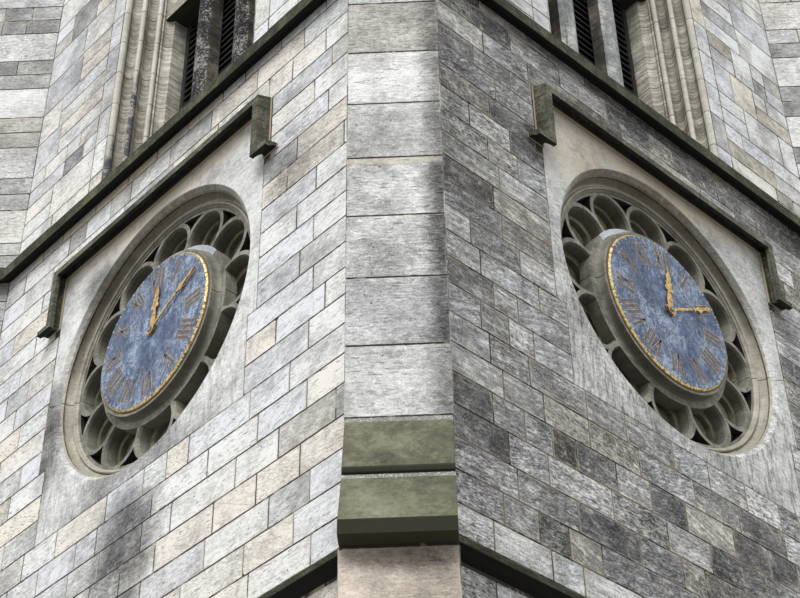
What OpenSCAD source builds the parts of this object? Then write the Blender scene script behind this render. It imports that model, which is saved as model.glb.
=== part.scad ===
// Square stone clock tower with diagonal corner buttresses, a dial on each side,
// a belfry stage of louvred openings, an embattled parapet and corner pinnacles.
// Millimetres. Origin on the tower's axis at ground level, +Z up, south is -Y.

/* [Tower] */
// Width of the clock stage over its wall faces
tower_w = 7500; // [6500:50:9000]
// Thickness of the clock stage walls
wall_t = 1000; // [800:10:1200]
// How far the ground stage stands out beyond the clock stage
ground_step = 40; // [20:5:80]
// How far the belfry stage is set back from the clock stage
belfry_step = 40; // [20:5:80]

/* [Heights above ground] */
// Top of the plinth
plinth_top = 1150; // [900:10:1400]
// Top of the ground stage walls, under the lower string course
ground_top = 8400; // [7600:50:8600]
// Centre of the dials
clock_z = 12575; // [12300:25:12900]
// Top of the clock stage walls, under the upper string course
clock_top = 15362; // [15000:50:16000]
// Springing of the arches over the belfry openings
spring_z = 20600; // [20300:50:21000]
// Top of the belfry stage walls, under the parapet
belfry_top = 23500; // [23400:50:24200]

/* [Plinth] */
// How far the plinth stands out at the ground
plinth_out = 190; // [120:10:240]
// Height of the plinth's sloping top
plinth_slope = 170; // [100:10:240]
// Width of the flat nosing above the plinth's upright face
plinth_nose = 30; // [10:5:60]

/* [Buttresses] */
// Width of each corner buttress
buttress_w = 748; // [600:2:900]
// Projection beyond the wall corner, clock and belfry stages
buttress_out = 1140; // [900:10:1300]
// Projection beyond the wall corner, ground stage
buttress_foot = 1540; // [1400:10:1700]
// How far the lower nosing overhangs the ground stage buttress
nosing = 163; // [80:1:200]
// Level where the upper weathering begins
weather_top = 8550; // [8500:10:8700]
// Height of the upper weathering
weather_upper = 595; // [500:5:700]
// How far the upper weathering runs out
weather_upper_out = 221; // [150:1:260]
// Height of the lower weathering
weather_lower = 592; // [500:1:700]
// Height of the upright face of the nosing
nosing_face = 103; // [60:1:140]
// Width of the drip under the lower nosing
nosing_drip = 30; // [10:1:50]
// How far the roll between the two weatherings stands out
weather_roll = 40; // [25:1:60]
// Height of that roll
weather_roll_h = 34; // [20:1:50]
// Level where the belfry stage weathering begins
upper_weather_top = 22350; // [22000:50:22600]
// Height of the belfry stage weathering
upper_weather = 900; // [600:10:1000]
// Overhang of the belfry stage weathering, and the height of its nosing
upper_nosing = 60; // [40:5:90]
// Projection above the belfry stage weathering
buttress_head = 560; // [450:10:700]

/* [String courses] */
// Projection of the upper string course
string_out = 150; // [110:5:180]
// Height of its upright face
string_face = 163; // [110:1:180]
// Projection of the lower string course
lower_out = 170; // [130:5:200]
// Height of the lower string course's upright face
lower_face = 62; // [40:1:90]
// Rise of the string courses' sloping tops
string_rise = 155; // [100:5:200]
// Height of the hollow under a string course
string_hollow = 78; // [50:1:100]
// Thickness of the upper string course's lip in front of that hollow
string_lip = 22; // [15:1:40]
// Projection of the parapet string course
cornice_out = 175; // [120:5:200]
// Height of the parapet string course
cornice_h = 300; // [240:10:360]
// Height of the hollow under it
cornice_hollow = 90; // [60:5:120]
// Height of its upright face
cornice_face = 120; // [90:5:150]

/* [Roundels] */
// Outer edge of the moulded ring in the wall face, radius
roundel_r = 1648; // [1600:1:1680]
// Sharp inner edge of the ring's splay, radius
roundel_arris_r = 1587; // [1577:1:1602]
// Radius of the tracery wheel
wheel_r = 1472; // [1467:1:1482]
// Depth of the ring's sharp inner edge below the wall face
arris_d = 58; // [50:1:64]
// Width of the hollow inside the ring's sharp edge
ring_hollow_w = 56; // [45:1:60]
// Depth of that hollow
ring_hollow_d = 85; // [75:1:90]
// Depth of the tracery wheel's front below the wall face
wheel_d = 180; // [172:1:190]
// Thickness of the tracery wheel
wheel_t = 560; // [450:10:700]
// Number of petals in the wheel
petals = 12; // [8:1:14]
// Radius from the dial centre to a petal's centre
petal_at = 1158; // [1153:1:1163]
// Radius of a petal's opening
petal_r = 268; // [255:1:272]
// Depth of a petal's recess
petal_depth = 140; // [100:5:180]
// Chamfer round the front of a petal
petal_chamfer = 15; // [8:1:18]
// Radius of the round hole at the back of a petal
eye_r = 200; // [160:1:210]
// Depth of that hole
eye_depth = 60; // [30:5:80]
// Radius that separates the corner piercings from the petals
spandrel_r = 331; // [323:1:338]
// Inner edge of the wheel's outer ring, radius
ring_in_r = 1440; // [1428:1:1447]
// Outer edge of the ring that the petals stand on, radius
hub_r = 1033; // [1020:1:1045]
// Foot of the drum that carries the dial, radius
drum_r = 985; // [980:1:1000]
// Radius of the hollow that spreads the drum's foot
drum_cove = 45; // [35:1:48]
// Step between that hollow and the wheel
drum_step = 2; // [1:1:4]

/* [Dials] */
// Radius of a dial
dial_r = 912; // [870:1:920]
// Thickness of a dial
dial_t = 30; // [20:1:36]
// Depth of a dial's front below the wall face
dial_d = 48; // [44:1:56]
// Width of the dial's sloping edge
dial_edge_w = 35; // [20:1:45]

/* [Hands] */
// Length of a minute hand from its centre
minute_len = 800; // [700:5:830]
// Length of an hour hand from its centre
hour_len = 575; // [500:5:600]
// Thickness of a hand
hand_t = 9; // [6:1:10]
// Thickness of the cap on the arbor, and its gap to the minute hand
cap_t = 6; // [5:1:10]
// Radius of a minute hand's boss
minute_boss_r = 60; // [50:1:70]
// Radius of an hour hand's boss
hour_boss_r = 70; // [60:1:80]
// Radius of the arbor the hands turn on
arbor_r = 18; // [14:1:24]
// Clearance round the arbor in a hand
arbor_gap = 0.4; // [0.3:0.1:0.8]
// Gap between the dial plate and the hour hand
hour_lift = 9; // [7:1:10]
// Gap between the two hands
hand_gap = 8; // [6:1:10]
// Angle of the minute hands from the top, clockwise
minute_angle = 61; // [0:1:359]
// Angle of the hour hands from the top, clockwise
hour_angle = 5; // [0:1:359]

/* [Hood moulds] */
// Half the width of the square hood mould over its faces
hood_half = 1847; // [1835:1:1870]
// Height of its upright face's top above the dial centre
hood_top = 1863; // [1850:1:1885]
// Height of the lower ends above the dial centre
hood_low = 1025; // [925:10:1125]
// Projection of the hood mould
hood_out = 165; // [120:1:180]
// Width of its front face
hood_face = 84; // [70:1:100]
// Width of its sloping outer side
hood_slope = 38; // [25:1:60]
// Thickness of its front lip, before the hollow behind
hood_lip = 45; // [30:1:60]
// Width of the bead that it has along the wall
hood_bead = 20; // [12:1:26]
// How far its lower ends return outwards
stop_out = 165; // [100:5:200]
// Height of the front face of those returns
stop_h = 62; // [50:1:90]
// Rise of the returns' sloping tops
stop_rise = 50; // [30:5:90]
// Gap between a belfry opening's arch and the hood mould over it
belfry_hood_gap = 60; // [30:5:100]
// Width of the hood moulds over the belfry openings
belfry_hood_w = 170; // [120:5:200]
// Projection of the hood moulds over the belfry openings
belfry_hood_out = 110; // [80:5:140]
// Height of the block at each end of those hood moulds
belfry_stop_h = 130; // [100:5:180]

/* [Belfry openings] */
// Half the width of an opening in the wall face
opening_half = 1430; // [1400:5:1450]
// Half the width of an opening behind its mouldings
light_half = 1047; // [1035:1:1060]
// Radius of the roll on an opening's edge
arris_roll_r = 45; // [35:1:50]
// Radius of the two hollows in its jambs
jamb_hollow_r = 64; // [50:1:70]
// Radius of the two rolls beside them
jamb_roll_r = 31; // [24:1:36]
// Radius of the hollow next to the reveal
reveal_hollow_r = 96; // [80:1:105]
// Distance of the arch centres from the middle
arch_centre = 1000; // [900:10:1100]
// Depth of the mullions' front below the wall face
mullion_d = 495; // [480:5:510]
// Depth of a mullion from front to back
mullion_t = 225; // [200:5:260]
// Width of a mullion
mullion_w = 295; // [240:5:310]
// Width of a mullion's narrow front
mullion_nose = 87; // [60:1:120]
// Depth of the chamfers beside it
mullion_chamfer = 60; // [40:1:80]
// Level of the transom's underside
transom_z = 18700; // [18400:10:18900]
// Height of the transom
transom_h = 190; // [150:5:220]
// How far the transom stands out from the mullions
transom_out = 60; // [40:5:80]
// Springing of the pointed heads of the lights
light_spring = 20350; // [20200:10:20500]
// Distance of the lights' arch centres from their middle
light_centre = 110; // [60:5:160]
// Height of the two upper daggers above the lights' springing
dagger_rise = 800; // [760:10:840]
// Width of an upper dagger
dagger_w = 342; // [300:2:360]
// Height of the top piercing above the lights' springing
top_eye_rise = 1330; // [1300:10:1360]
// Radius of the top piercing
top_eye_r = 230; // [200:5:250]
// Rise of the sloping sill inside an opening
sill_rise = 130; // [80:5:160]
// Vertical distance between louvre boards
louvre_pitch = 115; // [100:5:140]
// Thickness of a louvre board
louvre_t = 22; // [15:1:30]
// Depth of the louvre frame
louvre_d = 150; // [120:5:180]
// Width of the louvre frame
louvre_frame = 60; // [40:5:80]

/* [Parapet and roof] */
// Thickness of the parapet
parapet_t = 380; // [300:10:450]
// Height of the parapet's solid part above the belfry walls
parapet_h = 1000; // [800:10:1200]
// Height of the raised merlons above that
merlon_h = 620; // [500:10:700]
// Number of gaps between merlons on a side
embrasures = 4; // [2:1:4]
// Width of a gap between merlons
embrasure_w = 560; // [450:10:650]
// Thickness of the coping stones
coping_h = 120; // [90:5:140]
// Overhang of the coping stones
coping_out = 45; // [20:5:60]
// Rise of the lead roof
roof_rise = 520; // [300:10:600]
// Thickness of the roof's boards and lead
roof_t = 90; // [60:5:120]
// Width of the gutter behind the parapet
gutter_w = 320; // [250:10:400]
// Height of the gutter above the belfry walls
gutter_h = 120; // [100:5:160]
// Height of the roof's edge above the gutter
roof_kerb = 100; // [60:5:140]
// Half the width of the flat at the top of the roof
roof_cap = 60; // [40:5:120]

/* [Pinnacles] */
// Width of a pinnacle's shaft
pinnacle_w = 640; // [500:10:700]
// Height of a pinnacle's shaft above the belfry walls
pinnacle_shaft = 2500; // [2200:50:2800]
// Height of a pinnacle's spire
pinnacle_spire = 1900; // [1500:50:2200]
// How far a pinnacle's middle stands beyond the wall corner
pinnacle_off = 32; // [0:1:80]
// Height of the gable on each face of a pinnacle
gable_h = 430; // [300:10:500]
// Overhang of the gables
gable_out = 45; // [25:5:60]
// Half the width of the sunk panel on each face
panel_half = 190; // [150:5:220]
// Depth of the sunk panels
panel_d = 40; // [20:5:60]
// Width of the finial
finial_w = 260; // [200:10:300]

/* [Doorway and floors] */
// Half the width of the doorway between its jambs
door_half = 560; // [500:10:650]
// Level of the doorway's springing
door_spring = 2050; // [1900:10:2200]
// Width of each of the doorway's two chamfered orders
door_order = 150; // [100:10:180]
// Depth of the door behind the chamfered orders
door_reveal = 60; // [30:5:90]
// Thickness of the door
door_t = 70; // [50:5:90]
// Depth of the step in front of the doorway
step_going = 420; // [350:10:500]
// Thickness of a floor slab
floor_t = 260; // [200:10:320]
// Level of the ground floor
ground_floor_z = 180; // [150:10:240]
// How far the belfry floor lies below the belfry stage
belfry_floor_drop = 262; // [150:2:400]

/* [Hidden] */

half = tower_w / 2;
inner_half = half - wall_t;
ground_half = half + ground_step;
belfry_half = half - belfry_step;
corner_r = half * sqrt(2);
parapet_z = belfry_top + cornice_h;
parapet_top = parapet_z + parapet_h;
merlon_top = parapet_top + merlon_h;
belfry_floor_z = clock_top - belfry_floor_drop;
seat_gap = 0.3;
cut = 50;
far = 3 * tower_w;

stone_pale = [0.72, 0.69, 0.62];
stone_dark = [0.48, 0.47, 0.45];
stone_moss = [0.30, 0.31, 0.24];
stone_buff = [0.74, 0.70, 0.60];
dial_blue = [0.36, 0.44, 0.56];
gilt = [0.75, 0.60, 0.30];
lead_grey = [0.45, 0.47, 0.50];
timber = [0.36, 0.28, 0.20];
louvre_dark = [0.14, 0.14, 0.13];

dial_back_d = dial_d + dial_t;
hour_back_d = dial_d - hour_lift;
minute_back_d = hour_back_d - hand_t - hand_gap;
arbor_end_d = minute_back_d - hand_t - cap_t;
cap_r = 1.7 * arbor_r;

// Places children on a side: 0 south, 1 east, 2 north, 3 west
module on_side(i) {
    rotate([0, 0, 90 * i]) children();
}

// Places children on a corner: 0 southwest, 1 southeast, 2 northeast, 3 northwest
module on_corner(i) {
    rotate([0, 0, 90 * i - 45]) children();
}

// Points along an arc from angle a to angle b
function arc(x, y, r, a, b, n) = [
    for (i = [0:n]) [x + r * cos(a + (b - a) * i / n), y + r * sin(a + (b - a) * i / n)]
];

// A square block, half its width h, between two levels
module block(h, z0, z1) {
    translate([-h, -h, z0]) cube([2 * h, 2 * h, z1 - z0]);
}

// Turns a shape drawn in width and level to face south and gives it depth d0 to d1
module from_face(face, d0, d1) {
    translate([0, -face + d1, 0])
        rotate([90, 0, 0])
            linear_extrude(d1 - d0) children();
}

// Turns a body of revolution drawn as [radius, depth] so its axis runs into the wall
module revolve_in(face, x, z) {
    translate([x, -face, z])
        rotate([-90, 0, 0])
            rotate_extrude($fn = 180) children();
}

// A square ring moulding: the outline is drawn as [distance from the axis, level]
module square_moulding(outline) {
    sym = concat(outline, [for (i = [len(outline) - 1:-1:0]) [-outline[i][0], outline[i][1]]]);
    intersection() {
        rotate([90, 0, 0])
            translate([0, 0, -far / 2]) linear_extrude(far) polygon(sym);
        rotate([90, 0, 90])
            translate([0, 0, -far / 2]) linear_extrude(far) polygon(sym);
    }
}

// The same moulding carried round a buttress: its outline is [projection, level]
module buttress_moulding(outline, front) {
    side = buttress_w / 2;
    across = concat(
        [for (p = outline) [side + p[0], p[1]]],
        [for (i = [len(outline) - 1:-1:0]) [-side - outline[i][0], outline[i][1]]]
    );
    along = concat([[-corner_r / 2, outline[0][1]]], [for (p = outline) [front + p[0], p[1]]],
        [[-corner_r / 2, outline[len(outline) - 1][1]]]);
    intersection() {
        rotate([90, 0, 0])
            translate([0, 0, -far / 2]) linear_extrude(far) polygon(across);
        rotate([90, 0, -90])
            translate([0, 0, -far / 2]) linear_extrude(far) polygon(along);
    }
}

// The tower's walls as one solid mass, for cutting what sits against them
module wall_mass() {
    block(ground_half, plinth_top - cut, ground_top);
    block(half, ground_top - cut, clock_top);
    block(belfry_half, clock_top - cut, belfry_top + parapet_h + far);
}

// Buttress

nosing_z = weather_top - weather_upper - weather_lower - nosing_face;
weather_r = corner_r + buttress_out + weather_upper_out;
buttress_outline = [
    [corner_r / 2, plinth_top],
    [corner_r + buttress_foot, plinth_top],
    [corner_r + buttress_foot, nosing_z + nosing_drip],
    [corner_r + buttress_foot + nosing_drip, nosing_z],
    [corner_r + buttress_foot + nosing, nosing_z],
    [corner_r + buttress_foot + nosing, nosing_z + nosing_face],
    [weather_r + weather_roll / 2, weather_top - weather_upper - weather_roll_h],
    [weather_r + weather_roll, weather_top - weather_upper - weather_roll_h],
    [weather_r + weather_roll, weather_top - weather_upper],
    [corner_r + buttress_out, weather_top],
    [corner_r + buttress_out, upper_weather_top - upper_weather - upper_nosing],
    [corner_r + buttress_out + upper_nosing, upper_weather_top - upper_weather - upper_nosing],
    [corner_r + buttress_out + upper_nosing, upper_weather_top - upper_weather],
    [corner_r + buttress_head, upper_weather_top],
    [corner_r + buttress_head, belfry_top],
    [corner_r / 2, belfry_top]
];

module buttress_body() {
    rotate([90, 0, -90])
        translate([0, 0, -buttress_w / 2]) linear_extrude(buttress_w) polygon(buttress_outline);
}

module buttress(i) {
    color(stone_pale) difference() {
        on_corner(i) buttress_body();
        wall_mass();
    }
}

// Plinth

plinth_outline = [
    [0, 0],
    [plinth_out, 0],
    [plinth_out, plinth_top - plinth_slope],
    [plinth_out - plinth_nose, plinth_top - plinth_slope],
    [0, plinth_top]
];

module plinth() {
    color(stone_dark) difference() {
        union() {
            square_moulding(concat([[0, 0]], [for (p = plinth_outline) [ground_half + p[0], p[1]]],
                [[0, plinth_top]]));
            for (i = [0:3])
                on_corner(i) buttress_moulding(plinth_outline, corner_r + buttress_foot);
        }
        block(inner_half, -cut, plinth_top + cut);
        doorway_cut();
    }
}

// Ground stage with its doorway on the north side

// A pointed arch over straight jambs, w half its width, cut from depth d0 to d1 of a face
module pointed(face, d0, d1, w, spring, centre, base) {
    from_face(face, d0, d1) intersection() {
        translate([centre, spring]) circle(centre + w, $fn = 240);
        translate([-centre, spring]) circle(centre + w, $fn = 240);
        translate([-w, spring]) square([2 * w, 3 * w]);
    }
    from_face(face, d0, d1) translate([-w, base]) square([2 * w, spring - base]);
}

door_centre = 0.75 * door_half;
door_leaf_d = 2 * door_order + door_reveal;

module doorway_cut() {
    outer = door_half + 2 * door_order;
    middle = door_half + door_order;
    inside = wall_t + ground_step + cut;
    on_side(2) {
        pointed(ground_half, -plinth_out - cut, door_order, outer, door_spring, door_centre,
            ground_floor_z);
        pointed(ground_half, door_order - 1, 2 * door_order, middle, door_spring, door_centre,
            ground_floor_z);
        pointed(ground_half, 2 * door_order - 1, inside, door_half, door_spring, door_centre,
            ground_floor_z);
    }
}

module ground_walls() {
    color(stone_pale) difference() {
        block(ground_half, plinth_top + seat_gap, ground_top);
        block(inner_half, plinth_top - cut, ground_top + cut);
        doorway_cut();
    }
}

module door() {
    color(timber) on_side(2)
        pointed(ground_half, door_leaf_d, door_leaf_d + door_t, door_half - seat_gap,
            door_spring, door_centre, ground_floor_z);
}

module doorway_step() {
    color(stone_dark) on_side(2)
        translate([-door_half - 2 * door_order, -ground_half - plinth_out - step_going, 0])
            cube([2 * door_half + 4 * door_order, step_going, ground_floor_z]);
}

// Clock stage

ring_hollow_r = roundel_arris_r - 52;
ring_bead_r = 18;
roundel_outline = concat(
    [[0, -cut], [roundel_r, -cut], [roundel_r, 0], [roundel_arris_r, arris_d]],
    [for (p = arc(0, 0, 1, 0, 90, 6))
        [ring_hollow_r + ring_hollow_w * p[0], arris_d + 10 + ring_hollow_d * p[1]]],
    arc(ring_hollow_r - 6 - ring_bead_r, arris_d + 14 + ring_hollow_d, ring_bead_r, 0, -180, 4),
    [[wheel_r, wheel_d - 8], [wheel_r, wall_t + cut], [0, wall_t + cut]]
);

module stage_wall(h, z0, z1) {
    difference() {
        block(h, z0, z1);
        block(inner_half, z0 - cut, z1 + cut);
        rotate([0, 0, 45]) translate([0, -far / 2, z0 - cut]) cube([far, far, z1 - z0 + 2 * cut]);
        rotate([0, 0, 135]) translate([0, -far / 2, z0 - cut]) cube([far, far, z1 - z0 + 2 * cut]);
    }
}

module clock_wall(i) {
    color(i == 3 ? stone_pale : stone_dark) on_side(i) difference() {
        stage_wall(half, ground_top, clock_top);
        revolve_in(half, 0, clock_z) polygon(roundel_outline);
    }
}

// Tracery wheel: petals round a ring, and the drum that carries the dial

module petal_cut() {
    translate([0, 0, -1]) cylinder(r = petal_r, h = petal_depth + 1, $fn = 72);
    translate([0, 0, -1])
        cylinder(r1 = petal_r + petal_chamfer, r2 = petal_r, h = petal_chamfer + 11, $fn = 72);
}

drum_front = dial_back_d - wheel_d;
drum_outline = concat(
    [[0, 10], [0, drum_front], [drum_r - drum_cove - drum_step, drum_front]],
    arc(drum_r - drum_step, -drum_cove - drum_step, drum_cove, 180, 90, 6),
    [[drum_r, -drum_step], [drum_r, 10]]
);

module roundel(i) {
    color(stone_buff) on_side(i)
        translate([0, -half + wheel_d, clock_z]) rotate([-90, 0, 0]) difference() {
            union() {
                cylinder(r = wheel_r - seat_gap, h = wheel_t, $fn = 180);
                rotate_extrude($fn = 180) polygon(drum_outline);
            }
            difference() {
                for (k = [0:petals - 1])
                    rotate([0, 0, 360 / petals * k]) translate([0, -petal_at, 0]) petal_cut();
                translate([0, 0, -cut])
                    cylinder(r = hub_r, h = wheel_t, $fn = 180);
            }
            for (k = [0:petals - 1])
                rotate([0, 0, 360 / petals * k]) translate([0, -petal_at - 20, petal_depth - 1])
                    cylinder(r = eye_r, h = eye_depth + 1, $fn = 48);
            translate([0, 0, -1]) linear_extrude(petal_depth * 0.7) difference() {
                circle(ring_in_r, $fn = 180);
                for (k = [0:petals - 1])
                    rotate(360 / petals * k) translate([0, -petal_at]) circle(spandrel_r, $fn = 72);
                circle(hub_r + 40, $fn = 180);
            }
        }
}

// Dial with a sloping edge and the arbor for the hands

module dial(i) {
    color(dial_blue) on_side(i) revolve_in(half, 0, clock_z) polygon([
        [0, arbor_end_d - cap_t],
        [cap_r, arbor_end_d - cap_t],
        [cap_r, arbor_end_d],
        [arbor_r, arbor_end_d],
        [arbor_r, dial_d],
        [dial_r - dial_edge_w, dial_d],
        [dial_r, dial_back_d],
        [0, dial_back_d]
    ]);
}

// Hands

// Sets a hand that is drawn pointing up at its angle and depth
module set_hand(i, angle, back_d) {
    on_side(i) translate([0, -half + back_d, clock_z]) rotate([90, 0, 0])
        rotate(-angle) difference() {
            children();
            translate([0, 0, -1]) cylinder(r = arbor_r + arbor_gap, h = hand_t + 2, $fn = 48);
        }
}

module lobe(x, y, r) {
    translate([x, y, 0]) cylinder(r = r, h = hand_t, $fn = 40);
}

module hand_leaf(outline) {
    mirrored = [for (k = [len(outline) - 1:-1:0]) [-outline[k][0], outline[k][1]]];
    linear_extrude(hand_t) polygon(concat(outline, mirrored));
}

module minute_hand(i) {
    leaf = 0.60 * minute_len;
    color(gilt) set_hand(i, minute_angle, minute_back_d) union() {
        cylinder(r = minute_boss_r, h = hand_t, $fn = 60);
        hand_leaf([[19, 0], [11, leaf + 10]]);
        for (s = [-1, 1]) {
            lobe(s * 15, 0.56 * minute_len, 15);
            lobe(s * 20, leaf + 66, 26);
        }
        hand_leaf([[12, leaf], [38, leaf + 76], [16, leaf + 140], [12, leaf + 180],
            [27, leaf + 225], [1, minute_len]]);
    }
}

module hour_hand(i) {
    color(gilt) set_hand(i, hour_angle, hour_back_d) union() {
        cylinder(r = hour_boss_r, h = hand_t, $fn = 60);
        hand_leaf([[34, 0], [44, 0.22 * hour_len], [22, 0.46 * hour_len]]);
        for (s = [-1, 1]) {
            lobe(s * 34, 0.52 * hour_len, 30);
            lobe(s * 26, 0.66 * hour_len, 24);
        }
        hand_leaf([[22, 0.44 * hour_len], [42, 0.60 * hour_len], [30, 0.72 * hour_len],
            [40, 0.80 * hour_len], [1, hour_len]]);
    }
}

// String courses

module string_ring(outline, round_buttress) {
    square_moulding(concat([[half / 2, outline[0][1]]], [for (p = outline) [half + p[0], p[1]]],
        [[half / 2, outline[len(outline) - 1][1]]]));
    if (round_buttress)
        for (i = [0:3])
            on_corner(i) buttress_moulding(outline, corner_r + buttress_out);
}

string_foot = clock_top - string_face;
upper_outline = [
    [0, string_foot],
    [string_out, string_foot],
    [string_out, clock_top],
    [0, clock_top + string_rise],
    [-belfry_step, clock_top + string_rise]
];

// The hollow under the upper string course, behind its lip
upper_drip = [
    [0, string_foot - cut],
    [string_out - string_lip, string_foot - cut],
    [string_out - string_lip, string_foot],
    [string_out * 0.68, string_foot + string_hollow * 0.18],
    [string_out * 0.42, string_foot + string_hollow * 0.7],
    [0, string_foot + string_hollow],
    [-belfry_step, string_foot + string_hollow]
];

module upper_string() {
    color(stone_moss) difference() {
        string_ring(upper_outline, true);
        string_ring(upper_drip, true);
        wall_mass();
        for (i = [0:3]) on_corner(i) buttress_body();
    }
}

lower_outline = [
    [0, ground_top - lower_face - string_hollow],
    [lower_out * 0.5, ground_top - lower_face - string_hollow * 0.3],
    [lower_out - 40, ground_top - lower_face],
    [lower_out, ground_top - lower_face],
    [lower_out, ground_top],
    [0, ground_top + string_rise]
];

module lower_string() {
    color(stone_moss) difference() {
        string_ring(lower_outline, false);
        wall_mass();
        for (i = [0:3]) on_corner(i) buttress_body();
    }
}

cornice_outline = [
    [0, belfry_top],
    [cornice_out * 0.5, belfry_top + cornice_hollow / 3],
    [cornice_out * 0.75, belfry_top + cornice_hollow],
    [cornice_out, belfry_top + cornice_hollow],
    [cornice_out, belfry_top + cornice_hollow + cornice_face],
    [0, parapet_z]
];

module parapet_string() {
    color(stone_moss) difference() {
        union() {
            square_moulding(concat([[0, belfry_top]],
                [for (p = cornice_outline) [belfry_half + p[0], p[1]]],
                [[0, parapet_z]]));
            for (i = [0:3])
                on_corner(i) buttress_moulding(cornice_outline, corner_r + buttress_head);
        }
        block(belfry_half - parapet_t, belfry_top - cut, parapet_z + cut);
    }
}

// Hood moulds over the dials

module hood_prism(outline) {
    intersection() {
        translate([0, -half, clock_z - far / 2]) linear_extrude(far) polygon(concat(
            [for (p = outline) [hood_half + p[0], -p[1]]],
            [for (k = [len(outline) - 1:-1:0]) [-hood_half - outline[k][0], -outline[k][1]]]));
        translate([-far / 2, -half, clock_z]) rotate([90, 0, 90]) linear_extrude(far)
            polygon(concat([[-cut - hood_out, hood_low - cut]],
                [[-cut - hood_out, hood_top + 2 * cut]],
                [[0, hood_top + 2 * cut]], [[0, hood_low - cut]]));
        translate([-far / 2, -half, clock_z]) rotate([90, 0, 90]) linear_extrude(far)
            polygon(concat([for (p = outline) [-p[1], hood_top + p[0]]],
                [[-outline[len(outline) - 1][1], hood_low - 2 * cut],
                 [-outline[0][1], hood_low - 2 * cut]]));
    }
}

hood_outer = [[hood_slope, 0], [0, hood_out]];
hood_hollow_r = (hood_out - hood_lip - hood_bead) / 2;
hood_inner = concat(
    [[-hood_face + 36, -1], [-hood_face + 36, 4], [-hood_face + 24, 8],
     [-hood_face + 24, hood_bead]],
    arc(-hood_face + 24, hood_bead + hood_hollow_r, hood_hollow_r, -60, 75, 6),
    [[-hood_face, hood_out - hood_lip], [-hood_face, hood_out + 1]]
);

module hood_mould(i) {
    on_side(i) difference() {
        union() {
            intersection() {
                hood_prism(hood_outer);
                translate([-far / 2, -half - far, clock_z + hood_low])
                    cube([far, far, hood_top + hood_slope]);
            }
            for (s = [-1, 1])
                translate([s > 0 ? hood_half - hood_face : -hood_half - stop_out, -half,
                        clock_z + hood_low])
                    rotate([90, 0, 90]) linear_extrude(hood_face + stop_out) polygon([[0, 0],
                        [-hood_out, 0], [-hood_out, stop_h], [0, stop_h + stop_rise]]);
        }
        hood_prism(hood_inner);
        translate([-far / 2, -half, clock_z + hood_low]) rotate([90, 0, 90])
            linear_extrude(far) polygon([[0, -1], [hood_lip - hood_out, -1],
                [0.6 * (hood_lip - hood_out), stop_h * 0.7], [0, stop_h * 0.9]]);
    }
}

module hood_moulds() {
    color(stone_moss) for (i = [0:3]) hood_mould(i);
}

// Belfry stage

// Centres of the jambs' hollows and rolls as [half width, depth]
jamb_hollow_1 = [opening_half - jamb_hollow_r - 2, 146];
jamb_roll_1 = [jamb_hollow_1[0] - jamb_hollow_r - jamb_roll_r - 15, 182];
jamb_hollow_2 = [jamb_roll_1[0] - 15, 318];
jamb_roll_2 = [jamb_hollow_2[0] - jamb_hollow_r - jamb_roll_r + 10, 363];

// The hollow beside the reveal, which ends where the reveal begins
function reveal_hollow(gap) = arc(light_half - 20 - gap, 436, reveal_hollow_r, 0, 78, 5);

opening_outline = concat(
    [[0, -cut], [opening_half, -cut]],
    arc(opening_half, arris_roll_r, arris_roll_r, -90, -230, 6),
    arc(jamb_hollow_1[0], jamb_hollow_1[1], jamb_hollow_r, -51, 135, 8),
    arc(jamb_roll_1[0], jamb_roll_1[1], jamb_roll_r, 27, -220, 8),
    arc(jamb_hollow_2[0], jamb_hollow_2[1], jamb_hollow_r, -62, 135, 8),
    arc(jamb_roll_2[0], jamb_roll_2[1], jamb_roll_r, 15, -210, 8),
    [for (p = [[16, 35], [38, 47], [38, 58], [22, 71]]) [jamb_roll_2[0] - p[0], jamb_roll_2[1] + p[1]]],
    reveal_hollow(0),
    [[light_half, 540], [light_half, wall_t + cut], [0, wall_t + cut]]
);

// The air in a belfry opening, jambs and arch, from its outline of [half width, depth]
module opening_cut() {
    jamb = concat(opening_outline,
        [for (k = [len(opening_outline) - 1:-1:0])
            [-opening_outline[k][0], opening_outline[k][1]]]);
    translate([0, -belfry_half, clock_top - cut])
        linear_extrude(spring_z - clock_top + cut) polygon(jamb);
    intersection() {
        revolve_in(belfry_half, arch_centre, spring_z)
            polygon([for (p = opening_outline) [p[0] == 0 ? 0 : arch_centre + p[0], p[1]]]);
        revolve_in(belfry_half, -arch_centre, spring_z)
            polygon([for (p = opening_outline) [p[0] == 0 ? 0 : arch_centre + p[0], p[1]]]);
        translate([-far / 2, -far / 2, spring_z - 1]) cube([far, far / 2, far]);
    }
}

// The sloping sill that closes the foot of a belfry opening
module sill() {
    translate([-opening_half - cut, -belfry_half, clock_top]) rotate([90, 0, 90])
        linear_extrude(2 * opening_half + 2 * cut)
            polygon([[0, 0], [mullion_d, sill_rise], [wall_t - belfry_step, sill_rise],
                [wall_t - belfry_step, 0]]);
}

module belfry_wall(i) {
    color(i == 3 ? stone_pale : stone_dark) on_side(i) difference() {
        stage_wall(belfry_half, clock_top, belfry_top);
        difference() {
            opening_cut();
            sill();
        }
    }
}

// Mullions, transom and pointed light heads

light_w = (2 * light_half - 2 * mullion_w) / 3;
light_step = light_w + mullion_w;
sill_z = clock_top + sill_rise;

module mullion(x) {
    translate([x, -belfry_half + mullion_d, sill_z])
        linear_extrude(light_spring + light_w - sill_z) polygon([
            [-mullion_nose / 2, 0],
            [mullion_nose / 2, 0],
            [mullion_w / 2, mullion_chamfer],
            [mullion_w / 2, mullion_t],
            [-mullion_w / 2, mullion_t],
            [-mullion_w / 2, mullion_chamfer]
        ]);
}

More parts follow.
